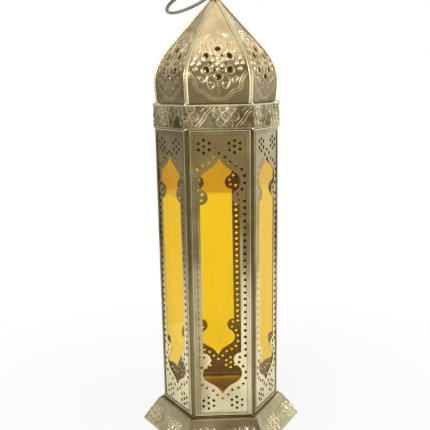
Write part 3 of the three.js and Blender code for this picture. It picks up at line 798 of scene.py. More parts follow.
FLOWER_DROPS = (0.0, 0.0, 0.0, 0.0, 0.0, 1.8)
SIDE_SHADES = (0.68, 0.0, 0.0, 0.0, 0.0, 0.0)
HOLE_SIZES = (1.08, 1.3, 1.0, 1.15, 1.0, 1.2)

# Heights between which a shade or the upper flowers' own drop sets in, the last from a panel's middle
FOOT_FADE = (38.0, 66.0)
UPPER_SHADE_FADE = (135.0, 174.0)
FLOWERS_FROM = (105.0, 110.0)


def panel_tone(panel, height):
    """Darker above the panels' middle, a painted shade, and a little darker at their foot, by its own
    amount on each panel.
    """
    foot = FOOT_SHADES[panel] * (1 - soft_step(height, *FOOT_FADE))
    return foot + PANEL_SHADES[panel] * soft_step(height, *UPPER_SHADE_FADE)


def punched(panel, line):
    """A line or a row of middles as it was punched on one panel. The hand-made pattern lies a little
    aside and lower, by amounts that change evenly from the panel's top to its foot, and is a little
    wider or narrower. The upper flowers may lie lower still."""
    top = np.array((PUNCH_SHIFTS[panel][0], -PUNCH_DROPS[panel][0]))
    foot = np.array((PUNCH_SHIFTS[panel][1], -PUNCH_DROPS[panel][1]))
    share = (line[:, 1] / PANEL_HEIGHT + 0.5)[:, None]
    extra = FLOWER_DROPS[panel] * soft_step(line[:, 1], *FLOWERS_FROM)[:, None]
    return line * [PUNCH_WIDTHS[panel], 1] + foot + (top - foot) * share - extra * [0, 1]


def body_of_panel(panel):
    return "door" if panel == DOOR else "lantern"


class LANTERN_OT_base_skirt(bpy.types.Operator):
    """Flared hexagonal skirt with its stamped band, its shoulder and its turned-in foot"""
    bl_idname = "lantern.base_skirt"
    bl_label = "Base Skirt"

    SHOULDER = (60.0, 20.5)
    SHOULDER_CURVE = ((58.6, 21.25), (57.2, 21.8))
    INNER_SHOULDER = (59.4, 19.6)
    TOP_RADIUS = 56.2
    INNER_TOP_RADIUS = 55.8
    FLANGE_RADIUS = 51.8
    STAMP_START = 7.0
    WALL = 0.8
    LIP = 2.6
    BAND = 17.5
    # Painted light: each face and each shoulder face in its own tone, and how light each face's stamps are,
    # partly wear.
    FACE_TONES = (1.0, 0.25, 0.25, 0.35, 0.3, 0.2)
    SHOULDER_TONES = (1.0, 0.45, 0.5, 0.5, 0.5, 0.75)
    STAMP_WEAR_AND_LIGHT = (0.9, 0.6, 0.8, 0.8, 0.8, 0.7)
    COLUMNS = 96
    ROWS = 66

    def execute(self, context):
        sizes = context.scene.lantern_relief
        foot = SKIRT_HIGH[0]
        top = SKIRT_HIGH[2]
        flare = even_steps(np.array([(foot, 1.2), (foot - 0.35, 1.9), self.SHOULDER]), self.ROWS)
        under_top = top - self.WALL
        edge = [(foot - self.LIP, 0.0), (foot - 0.5, 0.0), (foot - 0.15, 0.15), (foot, 0.5), (foot, 1.0)]
        rim = [*self.SHOULDER_CURVE, (self.TOP_RADIUS, top), (self.FLANGE_RADIUS, top)]
        inside = [(self.FLANGE_RADIUS, under_top), (self.INNER_TOP_RADIUS, under_top), self.INNER_SHOULDER,
                  (foot - 1.0, self.WALL)]
        profile = np.array([*edge, *flare[1:], *rim, *inside])
        turn, radius, height = carried_round(profile, self.COLUMNS)
        slope = np.array(self.SHOULDER) - flare[0]
        slope_length = math.hypot(slope[0] * FLAT, slope[1])
        up = (profile[:, 1] - flare[0, 1]) / slope[1] * slope_length
        on_flare = np.zeros(len(profile), bool)
        on_flare[len(edge) - 1:len(edge) - 1 + self.ROWS] = True
        round_length = SIDES * (foot + self.SHOULDER[0]) / 2
        period = round_length / sizes.skirt_repeats
        along = turn * round_length / SIDES + self.STAMP_START
        x, z = np.meshgrid(along, up)
        stamp = stamped_band(x, z * BAND_HEIGHT / self.BAND, period)
        fade = np.clip((self.BAND + 0.8 - z) / 1.5, 0, 1) * np.clip((z - 0.3) / 1.0, 0, 1)
        stamp = stamp * fade * on_flare[:, None]
        seam = ridge((np.abs(np.mod(turn + 0.5, 1) - 0.5)) * foot, 0.5)[None, :]
        lift = millimetres(sizes.band_height) * stamp
        lift = lift + millimetres(sizes.waviness) * 2 * ripple(x, z, 11) * on_flare[:, None]
        lift = lift - 0.25 * seam * on_flare[:, None]
        out = lift * (slope[1] / slope_length)
        rise = lift * (-slope[0] * FLAT / slope_length)
        points = hexagon_rows(turn, np.minimum(radius + out / FLAT, foot), height + rise)
        face = turn.astype(int)
        wear_and_shading = np.array(self.STAMP_WEAR_AND_LIGHT)[face][None, :]
        # Stamps lighter by each face's share, their flanks and plain ground darker, a dark seam at each
        # corner, a painted highlight along the shoulder and painted shade on the ledge under the panels.
        shoulder = 0.7 * ridge(profile[:, 0] - 58.4, 0.7) * (profile[:, 1] > 20.6)
        flanks = ridge(stamp - 0.28, 0.15)
        ledge_shade = 1.6 * (profile[:, 0] < self.TOP_RADIUS)
        shoulder = (shoulder - ledge_shade)[:, None]
        relief = stamp * wear_and_shading - 0.25 * (stamp < 0.1) - flanks - 1.2 * seam + shoulder
        faces = grid_faces(len(points), len(turn), close_rows=True, close_columns=True)[:, ::-1]
        shoulder_tone = np.array(self.SHOULDER_TONES)[face]
        tone = np.where(on_flare[:, None], np.array(self.FACE_TONES)[face], shoulder_tone)
        inner = np.arange(len(faces)) // len(turn) >= len(profile) - len(inside) - 1
        mesh_piece("skirt", points, faces, ("base_brass", "soot_and_shade_inside"), "lantern",
                   ("base_skirt",), relief, tone, inner)
        return {"FINISHED"}


class LANTERN_OT_floor_plate(bpy.types.Operator):
    """Pressed tray that the candle stands on, with a second step pressed in its middle"""
    bl_idname = "lantern.floor_plate"
    bl_label = "Floor Plate"

    TRAY_RADIUS = 50.0
    TRAY_DEPTH = 3.0
    STEP_RADIUS = 29.0
    STEP_RISE = 0.7
    COLUMNS = 24

    def execute(self, context):
        low, high = FLOOR_LOW[2], FLOOR_HIGH[2]
        rim, tray, step = FLOOR_HIGH[0], self.TRAY_RADIUS, self.STEP_RADIUS
        floor = high - self.TRAY_DEPTH
        raised = floor + self.STEP_RISE
        profile = np.array([
            (0.6, low), (tray, low), (tray + 1.2, low + 0.9), (tray + 1.2, high - 0.6), (rim, high - 0.6),
            (rim, high), (tray + 0.9, high), (tray + 0.5, high - 0.3), (tray, floor + 0.4),
            (tray - 0.4, floor), (step + 1.2, floor), (step, raised), (20.0, raised), (8.0, raised),
            (0.6, raised)])
        turn, radius, height = carried_round(profile, self.COLUMNS)
        points, faces = closed_tube(hexagon_rows(turn, radius, height))
        # Painted highlights along the foot of the tray's wall and on its step; its outer rim is darker.
        worn_and_shaded = np.zeros(len(profile))
        worn_and_shaded[[4, 5, 6]] = -1.5
        worn_and_shaded[[8, 9]] = 2.4
        worn_and_shaded[[10, 11]] = 1.2
        mesh_piece("tray", points, outward(points, faces), ("tray_brass",), "lantern",
                   ("floor_plate",), np.repeat(worn_and_shaded, len(turn)), 0.5)
        return {"FINISHED"}


class LANTERN_OT_panel_frames(bpy.types.Operator):
    """Folded channel round each panel: four mitred bars with a rolled outer fold and a pressed groove"""
    bl_idname = "lantern.panel_frames"
    bl_label = "Panel Frames"

    SIDE_BAR = 4.3
    TOP_BAR = 4.4
    BOTTOM_BAR = 2.7
    WALL = 0.35
    STEPS = 36
    MITRE_GAP = 0.07
    FOLD = (19, 0, 1)

    # Keys are a panel's place in PANELS and a bar's: foot, right, top, left
    CORNER_GAPS = {(0, 3): 1.0}
    # Painted highlight: how much lighter the crest of each listed bar is.
    CREST_HIGHLIGHT_SHARES = {(0, 1): 0.5, (0, 2): 0.7, (0, 3): 0.3, (1, 3): 0.5}

    # Widths of the left and the right bar of the panels where they differ from SIDE_BAR
    OWN_BARS = {0: (5.6, 4.3), 1: (4.3, 3.0), 5: (3.2, 4.3)}

    def section(self, bar, gap):
        """The channel's section as pairs of inset and depth: a crest near the fold, a groove, a flat
        and a lip that turns down to the sheet, then the web and the inner lip. The fold lies a gap
        inside the panel's edge."""
        crest = 0.18
        fold = np.array([(0.0, 0.55), (0.08, 0.2), (0.3, 0.0), (0.55, -crest), (0.95, -crest), (1.2, 0.02),
                         (1.4, 0.1), (1.62, 0.04)]) + [gap, 0]
        wall = gap + self.WALL
        flat = [(bar - 0.9, 0.0), (bar - 0.45, 0.02), (bar - 0.12, 0.14), (bar, 0.34), (bar - 0.1, 0.45),
                (bar - 0.5, self.WALL), (wall, self.WALL)]
        back = [(wall, FRAME_DEPTH - self.WALL), (bar, FRAME_DEPTH - self.WALL), (bar, FRAME_DEPTH),
                (gap + 0.3, FRAME_DEPTH), (gap, FRAME_DEPTH - 0.35)]
        return np.concatenate([fold, flat, back])

    def bar(self, panel, start, end, widths, gap, seed):
        """One bar between two corners of the panel. Its section is carried along the edge, and each
        end is cut on the mitre: the end moves inwards as fast as the section does. The widths are the
        bar's own and those of the bars at its start and its end."""
        section = self.section(widths[0], gap)
        start, end = np.array(start, float), np.array(end, float)
        way = (end - start) / np.linalg.norm(end - start)
        inwards = np.array([-way[1], way[0]])
        share = np.linspace(0, 1, self.STEPS + 1)[:, None]
        inset = section[:, 0][None, :]
        first = inset * widths[1] / widths[0] + self.MITRE_GAP
        last = np.linalg.norm(end - start) - inset * widths[2] / widths[0] - self.MITRE_GAP
        along = first + (last - first) * share
        flat = start + along[..., None] * way + np.broadcast_to(inset, along.shape)[..., None] * inwards
        wave = ripple(along * 0.7, inset + 0 * along, seed) * np.sin(math.pi * share)
        depth = np.broadcast_to(section[:, 1], along.shape) - 0.14 * wave
        return on_panel(panel, flat[..., 0], depth, flat[..., 1])

    def wear_and_shading(self, upright, crest):
        """How light or dark each point of the section is: the crest is lighter, a painted highlight, by its
        own share on each bar, and it is darker along the inner edge, in the groove and, on an upright bar,
        in the fold, the last a painted shade."""
        worn_and_shaded = np.full(20, -0.25)
        worn_and_shaded[[3, 4]] = 0.9 * crest
        worn_and_shaded[6] = -1.6
        worn_and_shaded[[10, 11, 12]] = -1.3
        if upright:
            worn_and_shaded[[0, 1, 19]] = -1.6
        return worn_and_shaded

    def execute(self, context):
        t, b = self.TOP_BAR, self.BOTTOM_BAR
        left, right, low, high = -FRAME_HALF, FRAME_HALF, PANEL_FOOT, PANEL_TOP
        for panel, name in enumerate(PANELS):
            s, r = self.OWN_BARS.get(panel, (self.SIDE_BAR, self.SIDE_BAR))
            bars = [((left, low), (right, low), (b, s, r)), ((right, low), (right, high), (r, b, t)),
                    ((right, high), (left, high), (t, r, s)), ((left, high), (left, low), (s, t, b))]
            tubes, crest, tone, fold = [], [], [], []
            for i, (start, end, widths) in enumerate(bars):
                gap = self.CORNER_GAPS.get((panel, i), 0.0)
                loops = self.bar(panel, start, end, widths, gap, 100 + panel * 4 + i)
                some, around = closed_tube(loops)
                tubes.append((some, around))
                face = np.arange(len(around))
                upright = i % 2 == 1
                # The fold faces of the upright bars take the seam colours: painted shade in place of the
                # fold's reflection.
                fold.append(np.isin(face % loops.shape[1], self.FOLD) & (face < len(around) - 2) & upright)
                worn_and_shaded = self.wear_and_shading(upright, self.CREST_HIGHLIGHT_SHARES.get((panel, i), 1.0))
                crest.append(np.tile(worn_and_shaded, self.STEPS + 1))
                # Painted shade: each bar darker by its own amount, and by the panel's painted shade above
                # its middle.
                tone.append(np.maximum(0.85 * panel_tone(panel, some[:, 2]), BAR_SHADES[panel][i]))
            points, faces = joined(tubes)
            mesh_piece(f"{name}_channel", points, faces, ("bar_brass", "seam_solder_and_shade"), body_of_panel(panel),
                       (f"{name}_frame",), np.concatenate(crest), np.concatenate(tone),
                       np.concatenate(fold))
        return {"FINISHED"}


class LANTERN_OT_corner_seams(bpy.types.Operator):
    """Dark strips in the grooves between neighbouring frames, except beside the door: partly solder and
    partly painted shade
    """
    bl_idname = "lantern.corner_seams"
    bl_label = "Corner Seams"

    STEPS = 60
    NOTCH = 5.0
    NOTCH_DEPTH = 1.1
    OUTER = 53.3
    INNER = 51.9
    SECTION = ((INNER, -0.2), (OUTER, -1.0), (OUTER, 1.0), (INNER, 0.2))
    WIDER = {0: 0.9}
    # Painted shade: each corner's strip darkens from its foot to its top by its own amounts, and most in
    # the notch near the top.
    TONE_CHANGE = (120.0, 175.0)
    TONES = ((0.35, 1.0), (0.1, 0.9), (0.3, 0.9), (0.3, 0.9), (0.3, 0.9), (0.3, 0.9))

    def execute(self, context):
        height = np.linspace(PANEL_FOOT + 0.2, PANEL_TOP - 0.2, self.STEPS)
        sunk = soft_step(height, PANEL_TOP - self.NOTCH - 1, PANEL_TOP - self.NOTCH + 1)
        strips, tones = [], []
        for corner in range(SIDES):
            if corner in (DOOR, DOOR + 1):
                continue
            out = hexagon_corner(corner)
            along = np.array([-out[1], out[0]])
            bumps = 0.14 * ripple(height * 1.6, 0 * height, 500 + corner) - self.NOTCH_DEPTH * sunk
            section = np.array(self.SECTION)
            section[2, 1] += self.WIDER.get(corner, 0.0)
            reach = section[:, 0] + np.outer(bumps, section[:, 0] == self.OUTER)
            plan = reach[..., None] * out + section[:, 1][:, None] * along
            plan = plan * widening(height)[:, None, None]
            level = np.repeat(height[:, None, None], len(section), 1)
            strips.append(closed_tube(np.concatenate([plan, level], -1)))
            foot, top = self.TONES[corner]
            tone = foot + (top - foot) * soft_step(height, *self.TONE_CHANGE) + 2 * sunk
            tones.append(np.repeat(tone, len(section)))
        points, faces = joined(strips)
        mesh_piece("corner_seams", points, faces, ("seam_solder_and_shade",), "lantern", relief=0.0,
                   tone=np.concatenate(tones))
        return {"FINISHED"}


class LANTERN_OT_pierced_sheets(bpy.types.Operator):
    """Six pierced sheets: a flat outline with the window, the row of holes round it and four flowers.
    The door's pane has soot and painted shade on it in the same pattern"""
    bl_idname = "lantern.pierced_sheets"
    bl_label = "Pierced Sheets"

    HOLE_POINTS = 18
    EDGE = 0.05
    SOOT_AND_SHADE_THICKNESS = 0.12
    SOOT_AND_SHADE_SETBACK = 0.25
    SOOT_AND_SHADE_FADE = (6.0, 12.0)
    SIDE_FADE = (-20.0, -9.0)

    def outline_curve(self, outlines, thickness):
        curve = bpy.data.curves.new("sheet_outline", "CURVE")
        curve.dimensions = "2D"
        curve.fill_mode = "BOTH"
        curve.extrude = (thickness / 2 - self.EDGE) * MM
        curve.bevel_depth = self.EDGE * MM
        curve.bevel_resolution = 0
        for outline in outlines:
            spline = curve.splines.new("POLY")
            spline.points.add(len(outline) - 1)
            flat = np.zeros((len(outline), 4))
            flat[:, :2] = outline * MM
            flat[:, 3] = 1
            spline.points.foreach_set("co", flat.ravel())
            spline.use_cyclic_u = True
        return curve

    def cut_plate(self, context, half_x, half_y, cuts, thickness):
        """A flat oblong plate with outlines cut out of it: its points, its faces, and the middle and the
        outward direction of each face."""
        plate = np.array([(-half_x, -half_y), (half_x, -half_y), (half_x, half_y), (-half_x, half_y)])
        curve = self.outline_curve([plate, *cuts], thickness)
        holder = bpy.data.objects.new("sheet_outline", curve)
        context.scene.collection.objects.link(holder)
        context.view_layer.update()
        mesh = bpy.data.meshes.new_from_object(holder.evaluated_get(context.evaluated_depsgraph_get()))
        bpy.data.objects.remove(holder)
        bpy.data.curves.remove(curve)
        points = np.empty(len(mesh.vertices) * 3)
        mesh.vertices.foreach_get("co", points)
        faces = [tuple(p.vertices) for p in mesh.polygons]
        middle, normal = np.empty(len(faces) * 3), np.empty(len(faces) * 3)
        mesh.polygons.foreach_get("center", middle)
        mesh.polygons.foreach_get("normal", normal)
        bpy.data.meshes.remove(mesh)
        return points.reshape(-1, 3) / MM, faces, middle.reshape(-1, 3) / MM, normal.reshape(-1, 3)

    def face_kinds(self, middle, normal, holes, radius):
        """0 for an outer face, 1 for an inner one and 2 for the wall of a punched hole."""
        from_hole = np.linalg.norm(middle[:, None, :2] - holes[None], axis=2).min(1)
        wall = (np.abs(normal[:, 2]) < 0.5) & (from_hole < radius * 1.3)
        return np.where(wall, 2, np.where(normal[:, 2] < -0.5, 1, 0))

    def soot_and_shade(self, context, panel, cuts):
        """Soot and painted shade on the inner side of a pane, in the pattern of the sheet behind it, fading
        on one side.
        """
        half_y = (GLASS_HIGH[2] - GLASS_LOW[2]) / 2 - 0.5
        points, faces, _, _ = self.cut_plate(context, GLASS_HALF - 0.5, half_y, cuts, self.SOOT_AND_SHADE_THICKNESS)
        depth = BODY_FLAT - GLASS_BACK + self.SOOT_AND_SHADE_THICKNESS / 2
        height = points[:, 1] + PANEL_MIDDLE
        placed = on_panel(panel, points[:, 0], depth - points[:, 2], height)
        tone = panel_tone(panel, height) * (1 - soft_step(points[:, 0], *self.SOOT_AND_SHADE_FADE))
        mesh_piece(f"{PANELS[panel]}_soot", placed, faces, ("soot_and_shade_inside",), body_of_panel(panel),
                   relief=0.0, tone=tone, sharp=25)

    def execute(self, context):
        sizes = context.scene.lantern_panel_sizes
        half_y = (SHEET_HIGH[2] - SHEET_LOW[2]) / 2
        thickness = SHEET_FRONT - SHEET_BACK
        depth = BODY_FLAT - (SHEET_FRONT + SHEET_BACK) / 2
        radius = millimetres(sizes.hole_diameter) / 2
        stray = millimetres(sizes.punch_spread)
        waviness = millimetres(context.scene.lantern_relief.waviness)
        for panel, name in enumerate(PANELS):
            rng = np.random.default_rng(40 + panel)
            window = punched(panel, window_outline(sizes))
            middles = punched(panel, hole_middles(sizes, ROW_SHIFTS[panel]))
            middles = middles + rng.normal(0, stray, middles.shape)
            own_radius = HOLE_SIZES[panel] * radius
            radii = own_radius * (1 + rng.normal(0, 0.04, len(middles)))
            holes = [arc(m, r, 0, 360, self.HOLE_POINTS)[:-1] for m, r in zip(middles, radii)]
            cuts = [window, *holes]
            flat, faces, middle, normal = self.cut_plate(context, SHEET_HALF, half_y, cuts, thickness)
            bow = waviness * ripple(flat[:, 0], flat[:, 1], 60 + panel)
            height = flat[:, 1] + PANEL_MIDDLE
            placed = on_panel(panel, flat[:, 0], depth - flat[:, 2] + bow, height)
            # Painted shade: the front sheet's left strip is darker, and so is each panel above its middle.
            beside = SIDE_SHADES[panel] * (1 - soft_step(flat[:, 0], *self.SIDE_FADE))
            tone = np.maximum(panel_tone(panel, height), beside)
            # The walls of the punched holes are painted shade, and the inner faces take soot and painted
            # shade.
            mesh_piece(f"{name}_pierced", placed, faces, ("sheet_brass", "soot_and_shade_inside", "hole_shade"),
                       body_of_panel(panel), (f"{name}_sheet",), -0.1,
                       tone, self.face_kinds(middle, normal, middles, own_radius), sharp=25)
            if panel == DOOR:
                wide = radius + self.SOOT_AND_SHADE_SETBACK
                wider = [arc(m, wide, 0, 360, self.HOLE_POINTS)[:-1] for m in middles]
                self.soot_and_shade(context, panel, [window, *wider])
        return {"FINISHED"}


class LANTERN_OT_glass_panes(bpy.types.Operator):
    """Six amber panes with ground edges, each faintly uneven, and dark patches of painted shade before the
    front ones
    """
    bl_idname = "lantern.glass_panes"
    bl_label = "Glass Panes"

    COLUMNS = 28
    ROWS = 240
    EDGE = 0.15
    # Painted shade: the side of each front pane whose column of holes gets a dark patch.
    SHADE_SIDES = {0: 1, 1: 1, 5: -1}
    SHADE_THICKNESS = 0.03
    SHADE_END_MARGIN = 12.0
    FLOWER_REACH = 7.6
    CLEAR_PANE = DOOR
    CLEAR_FROM = 16.6
    CLEAR_BELOW = 46.5
    # Painted reflection: the pane that is paler near its foot.
    PALE_PANE = 5
    PALENESS = 0.35
    PALE_BELOW = (100.0, 106.0)

    def smoke(self, panel, across, height):
        """Smoke on the upper part of a pane. One pane is paler near its foot, a painted reflection, and the
        pane behind is clear beside and below its window."""
        edge = SMOKE_HEIGHTS[panel]
        smoky = SMOKE_AMOUNTS[panel] * soft_step(height, edge - 1.5, edge + 1.5)
        if panel == self.PALE_PANE:
            return smoky - self.PALENESS * (1 - soft_step(height - 0.4 * across, *self.PALE_BELOW))
        if panel != self.CLEAR_PANE:
            return smoky
        beside = soft_step(np.abs(across), self.CLEAR_FROM, self.CLEAR_FROM + 1.5)
        below = 1 - soft_step(height, self.CLEAR_BELOW, self.CLEAR_BELOW + 1.5)
        return smoky - (1 + smoky) * np.maximum(beside, below)

    def dirt_and_shade(self, panel, sizes):
        """Thin dark patches of painted shade before a pane, which make the holes look dark: behind the four
        flowers and down one column of holes.
        """
        patches = []
        for middle in punched(panel, flower_middles(sizes)):
            circle = arc(middle, self.FLOWER_REACH, 0, 360, 24)[:-1]
            uneven = 1 + 0.12 * ripple(circle[:, 0], circle[:, 1], 70 + panel)
            patches.append(middle + (circle - middle) * uneven[:, None])
        side = self.SHADE_SIDES[panel]
        edge = FRAME_HALF - millimetres(sizes.side_margin) + 0.5
        low = GLASS_LOW[2] - PANEL_MIDDLE + self.SHADE_END_MARGIN
        high = GLASS_HIGH[2] - PANEL_MIDDLE - self.SHADE_END_MARGIN
        inner_edge = punched(panel, np.array([(edge * side, low), (edge * side, high)]))
        patches.append(np.array([*inner_edge, (GLASS_HALF * side, high), (GLASS_HALF * side, low)]))
        depth = BODY_FLAT - GLASS_FRONT - np.array([2.0, 1.0]) * self.SHADE_THICKNESS
        return [closed_tube([on_panel(panel, patch[:, 0], d, patch[:, 1] + PANEL_MIDDLE) for d in depth])
                for patch in patches]

    def execute(self, context):
        half, low, high = GLASS_HALF, GLASS_LOW[2], GLASS_HIGH[2]
        front, back = BODY_FLAT - GLASS_FRONT, BODY_FLAT - GLASS_BACK
        across = np.linspace(-half, half, self.COLUMNS)
        up = np.linspace(low, high, self.ROWS)
        for panel, name in enumerate(PANELS):
            x, z = np.meshgrid(across, up)
            edge = np.minimum.reduce([half - np.abs(x), z - low, high - z])
            ground = np.where(edge < 0.01, self.EDGE, 0.0)
            outer = on_panel(panel, x, front + ground, z).reshape(-1, 3)
            inner = on_panel(panel, x, back - ground, z).reshape(-1, 3)
            count = len(outer)
            faces = [tuple(f) for f in grid_faces(self.ROWS, self.COLUMNS)]
            faces += [tuple(f[::-1]) for f in grid_faces(self.ROWS, self.COLUMNS, start=count)]
            index = np.arange(count).reshape(self.ROWS, self.COLUMNS)
            rim = np.concatenate([index[0, :-1], index[:-1, -1], index[-1, :0:-1], index[:0:-1, 0]])
            faces += [(a, a + count, b + count, b) for a, b in zip(rim, np.roll(rim, -1))]
            points = np.concatenate([outer, inner])
            tone = np.tile(self.smoke(panel, x, z).ravel(), 2)
            mesh_piece(f"{name}_pane", points, outward(points, faces), ("amber_pane",),
                       body_of_panel(panel), (f"{name}_glass",), tone=tone)
        sizes = context.scene.lantern_panel_sizes
        points, faces = joined([patch for panel in self.SHADE_SIDES for patch in self.dirt_and_shade(panel, sizes)])
        mesh_piece("pane_shade", points, faces, ("hole_shade",), "lantern", relief=0.0,
                   tone=0.0)
        return {"FINISHED"}


class LANTERN_OT_frieze_band(bpy.types.Operator):
    """Stamped hexagonal band between the panels and the dome, with beaded edges"""
    bl_idname = "lantern.frieze_band"
    bl_label = "Frieze Band"

    FLANGE_RADIUS = 50.0
    WALL = 0.8
    COLUMNS = 110
    ROWS = 58
    # Painted light: each face of the frieze in its own tone.
    FACE_TONES = (0.6, 0.0, 0.3, 0.4, 0.4, 0.05)
    LOWER_LAP = 0.25
    STAMP_START = -9.95

    def execute(self, context):
        sizes = context.scene.lantern_relief
        radius, low, high = FRIEZE_HIGH[0], FRIEZE_LOW[2] - self.LOWER_LAP, FRIEZE_HIGH[2]
        wall = [(radius, z) for z in np.linspace(low + 0.5, high - 0.5, self.ROWS)]
        rows = [(self.FLANGE_RADIUS, low), (radius - 0.5, low), (radius - 0.12, low + 0.12)] + wall
        rows += [(radius - 0.12, high - 0.12), (radius - 0.5, high), (self.FLANGE_RADIUS, high),
                 (self.FLANGE_RADIUS, high - self.WALL), (radius - self.WALL, high - self.WALL),
                 (radius - self.WALL, low + self.WALL), (self.FLANGE_RADIUS, low + self.WALL)]
        profile = np.array(rows)
        turn, corner_radius, height = carried_round(profile, self.COLUMNS)
        on_wall = np.zeros((len(profile), 1))
        on_wall[3:3 + self.ROWS] = 1
        length = SIDES * radius
        x, z = np.meshgrid(turn * radius + self.STAMP_START, profile[:, 1] - low)
        stamp = stamped_band(x, z, length / sizes.frieze_repeats)
        tall = high - low
        fade = np.clip((z - 1.6) / 1.0, 0, 1) * np.clip((tall - 1.4 - z) / 1.0, 0, 1)
        beads = 0.75 * ridge(z - 1.0, 0.45) + 1.3 * ridge(z - tall + 0.8, 0.8)
        fold = ridge(np.abs(np.mod(turn + 0.5, 1) - 0.5) * radius, 0.6)[None, :]
        stamp = (stamp * fade + beads) * on_wall
        lift = millimetres(sizes.band_height) * stamp
        lift = lift + millimetres(sizes.waviness) * ripple(x, z, 5) * on_wall - 0.2 * fold * on_wall
        points = hexagon_rows(turn, corner_radius + lift / FLAT, height)
        faces = grid_faces(len(profile), len(turn), close_rows=True, close_columns=True)[:, ::-1]
        # Painted highlights on the larger top bead, the flanges and the top rows, whose tone falls away;
        # the corner folds are darker.
        relief = np.where(on_wall > 0, stamp - 0.4 - 0.5 * fold, 0.25)
        row = np.arange(len(faces)) // len(turn)
        tone = np.array(self.FACE_TONES)[turn.astype(int)] * (1 - soft_step(z, tall - 2.4, tall - 1.0))
        mesh_piece("frieze", points, faces, ("frieze_brass", "soot_and_shade_inside"), "lantern",
                   ("frieze_band",), relief, tone, row >= self.ROWS + 6)
        return {"FINISHED"}


def dome_line(count):
    """The dome's corner line as radii and heights above its foot: a cubic from the foot to the belly, a
    cubic to the shoulder, then a straight side towards the apex."""
    foot, belly, shoulder = np.array((53.0, 0.0)), np.array((54.4, 19.0)), np.array((38.7, 50.0))
    apex = np.array((0.0, 92.5))
    straight = (apex - shoulder) / np.linalg.norm(apex - shoulder)
    lean = np.array((-0.03, 1.0))
    lower = bezier(foot, (53.84, 7.6), belly - lean * 5.7, belly, 24)
    upper = bezier(belly, belly + lean * 13.02, shoulder - straight * 10.85, shoulder, 40)
    top = apex + (shoulder - apex) * (4.0 / 38.7)
    return even_steps(np.concatenate([lower, upper[1:], [top]]), count)


class LANTERN_OT_dome_gores(bpy.types.Operator):
    """Six stamped and punched gores of the onion dome"""
    bl_idname = "lantern.dome_gores"
    bl_label = "Dome Gores"

    COLUMNS = 116
    ROWS = 216
    WALL = 0.7
    SEAM = 0.17
    BULGE_HEIGHT = 60.0
    # Painted light: each gore darker at its foot and lighter towards its top, by its own tones and heights.
    FOOT_TONES = (1.0, 0.88, 0.9, 0.9, 0.9, 0.8)
    TOP_TONES = (0.0, 0.15, 0.3, 0.3, 0.3, 0.08)
    TONE_CHANGES = ((28.0, 46.0), (14.0, 36.0), (20.0, 44.0), (20.0, 44.0), (20.0, 44.0), (20.0, 42.0))

    def execute(self, context):
        tall = millimetres(context.scene.lantern_relief.dome_height)
        line = dome_line(self.ROWS)
        radius, rise = line[:, 0][:, None], line[:, 1][:, None]
        slope = np.gradient(line, axis=0)
        slope /= np.linalg.norm(slope * [FLAT, 1], axis=1)[:, None]
        share = np.linspace(-1, 1, self.COLUMNS)[None, :]
        x = share * (radius / 2 - self.SEAM)
        z = np.repeat(rise, self.COLUMNS, 1)
        x, z = self.snap_to_holes(x, z)
        flat_radius = np.interp(z, line[:, 1], line[:, 0])
        out = np.interp(z, line[:, 1], slope[:, 1])
        up = np.interp(z, line[:, 1], -slope[:, 0] * FLAT)
        edge = np.clip((flat_radius / 2 - np.abs(x) - 1.8) / 1.5, 0, 1)
        stamp = gore_relief(x, z) * edge
        aside = np.clip(np.abs(x) / (flat_radius / 2), 0, 1)
        bulge = 0.5 * (1 - aside ** 2) * np.sin(np.clip(z / self.BULGE_HEIGHT, 0, 1) * math.pi)
        holes = gore_holes(x, z)
        inside = holes < -0.02
        quads = grid_faces(self.ROWS, self.COLUMNS)
        kept = quads[~inside.ravel()[quads].any(1)]
        burr = 0.35 * ridge(holes, 0.5)
        for panel in range(SIDES):
            name = PANELS[panel] if panel != DOOR else "rear"
            lift = tall * stamp + bulge + burr * tall + 0.12 * ripple(x, z, 200 + panel) * edge
            flat = np.stack([x, -flat_radius * FLAT - lift * out, GORE_LOW[2] + z + lift * up], -1)
            angle = panel * 2 * math.pi / SIDES
            cosine, sine = math.cos(angle), math.sin(angle)
            spin = np.array([[cosine, sine, 0], [-sine, cosine, 0], [0, 0, 1]])
            # Raised ornament lighter, partly rubbed and partly painted highlight, and darker round the
            # holes.
            relief = 1.1 * stamp - 0.12 - 0.5 * ridge(holes - 0.3, 0.5)
            rising = soft_step(z + 3 * ripple(x, z, 220 + panel), *self.TONE_CHANGES[panel])
            tone = self.FOOT_TONES[panel] * (1 - rising) + self.TOP_TONES[panel] * rising
            used, index = np.unique(kept, return_inverse=True)
            points = (flat @ spin).reshape(-1, 3)[used]
            piece = mesh_piece(f"gore_{name}", points, index.reshape(-1, 4), ("dome_brass", "dome_inside"),
                               "lantern", (f"dome_gore_{name}",), relief.ravel()[used],
                               tone.ravel()[used], sharp=60)
            wall = piece.modifiers.new("wall", "SOLIDIFY")
            wall.material_offset = 1
            wall.thickness = self.WALL * MM
            wall.offset = -1.0
        return {"FINISHED"}

    def snap_to_holes(self, x, z):
        """Moves the grid points nearest a hole's rim onto it, down the slope of the distance to it."""
        step = 0.05
        gap = (x[0, -1] - x[0, 0]) / (self.COLUMNS - 1)
        for _ in range(3):
            d = gore_holes(x, z)
            dx = (gore_holes(x + step, z) - gore_holes(x - step, z)) / (2 * step)
            dz = (gore_holes(x, z + step) - gore_holes(x, z - step)) / (2 * step)
            steep = np.maximum(dx ** 2 + dz ** 2, 0.05)
            near = np.abs(d) / np.sqrt(steep) < gap * 0.62
            x = x - np.where(near, d * dx / steep, 0)
            z = z - np.where(near, d * dz / steep, 0)
        return x, z


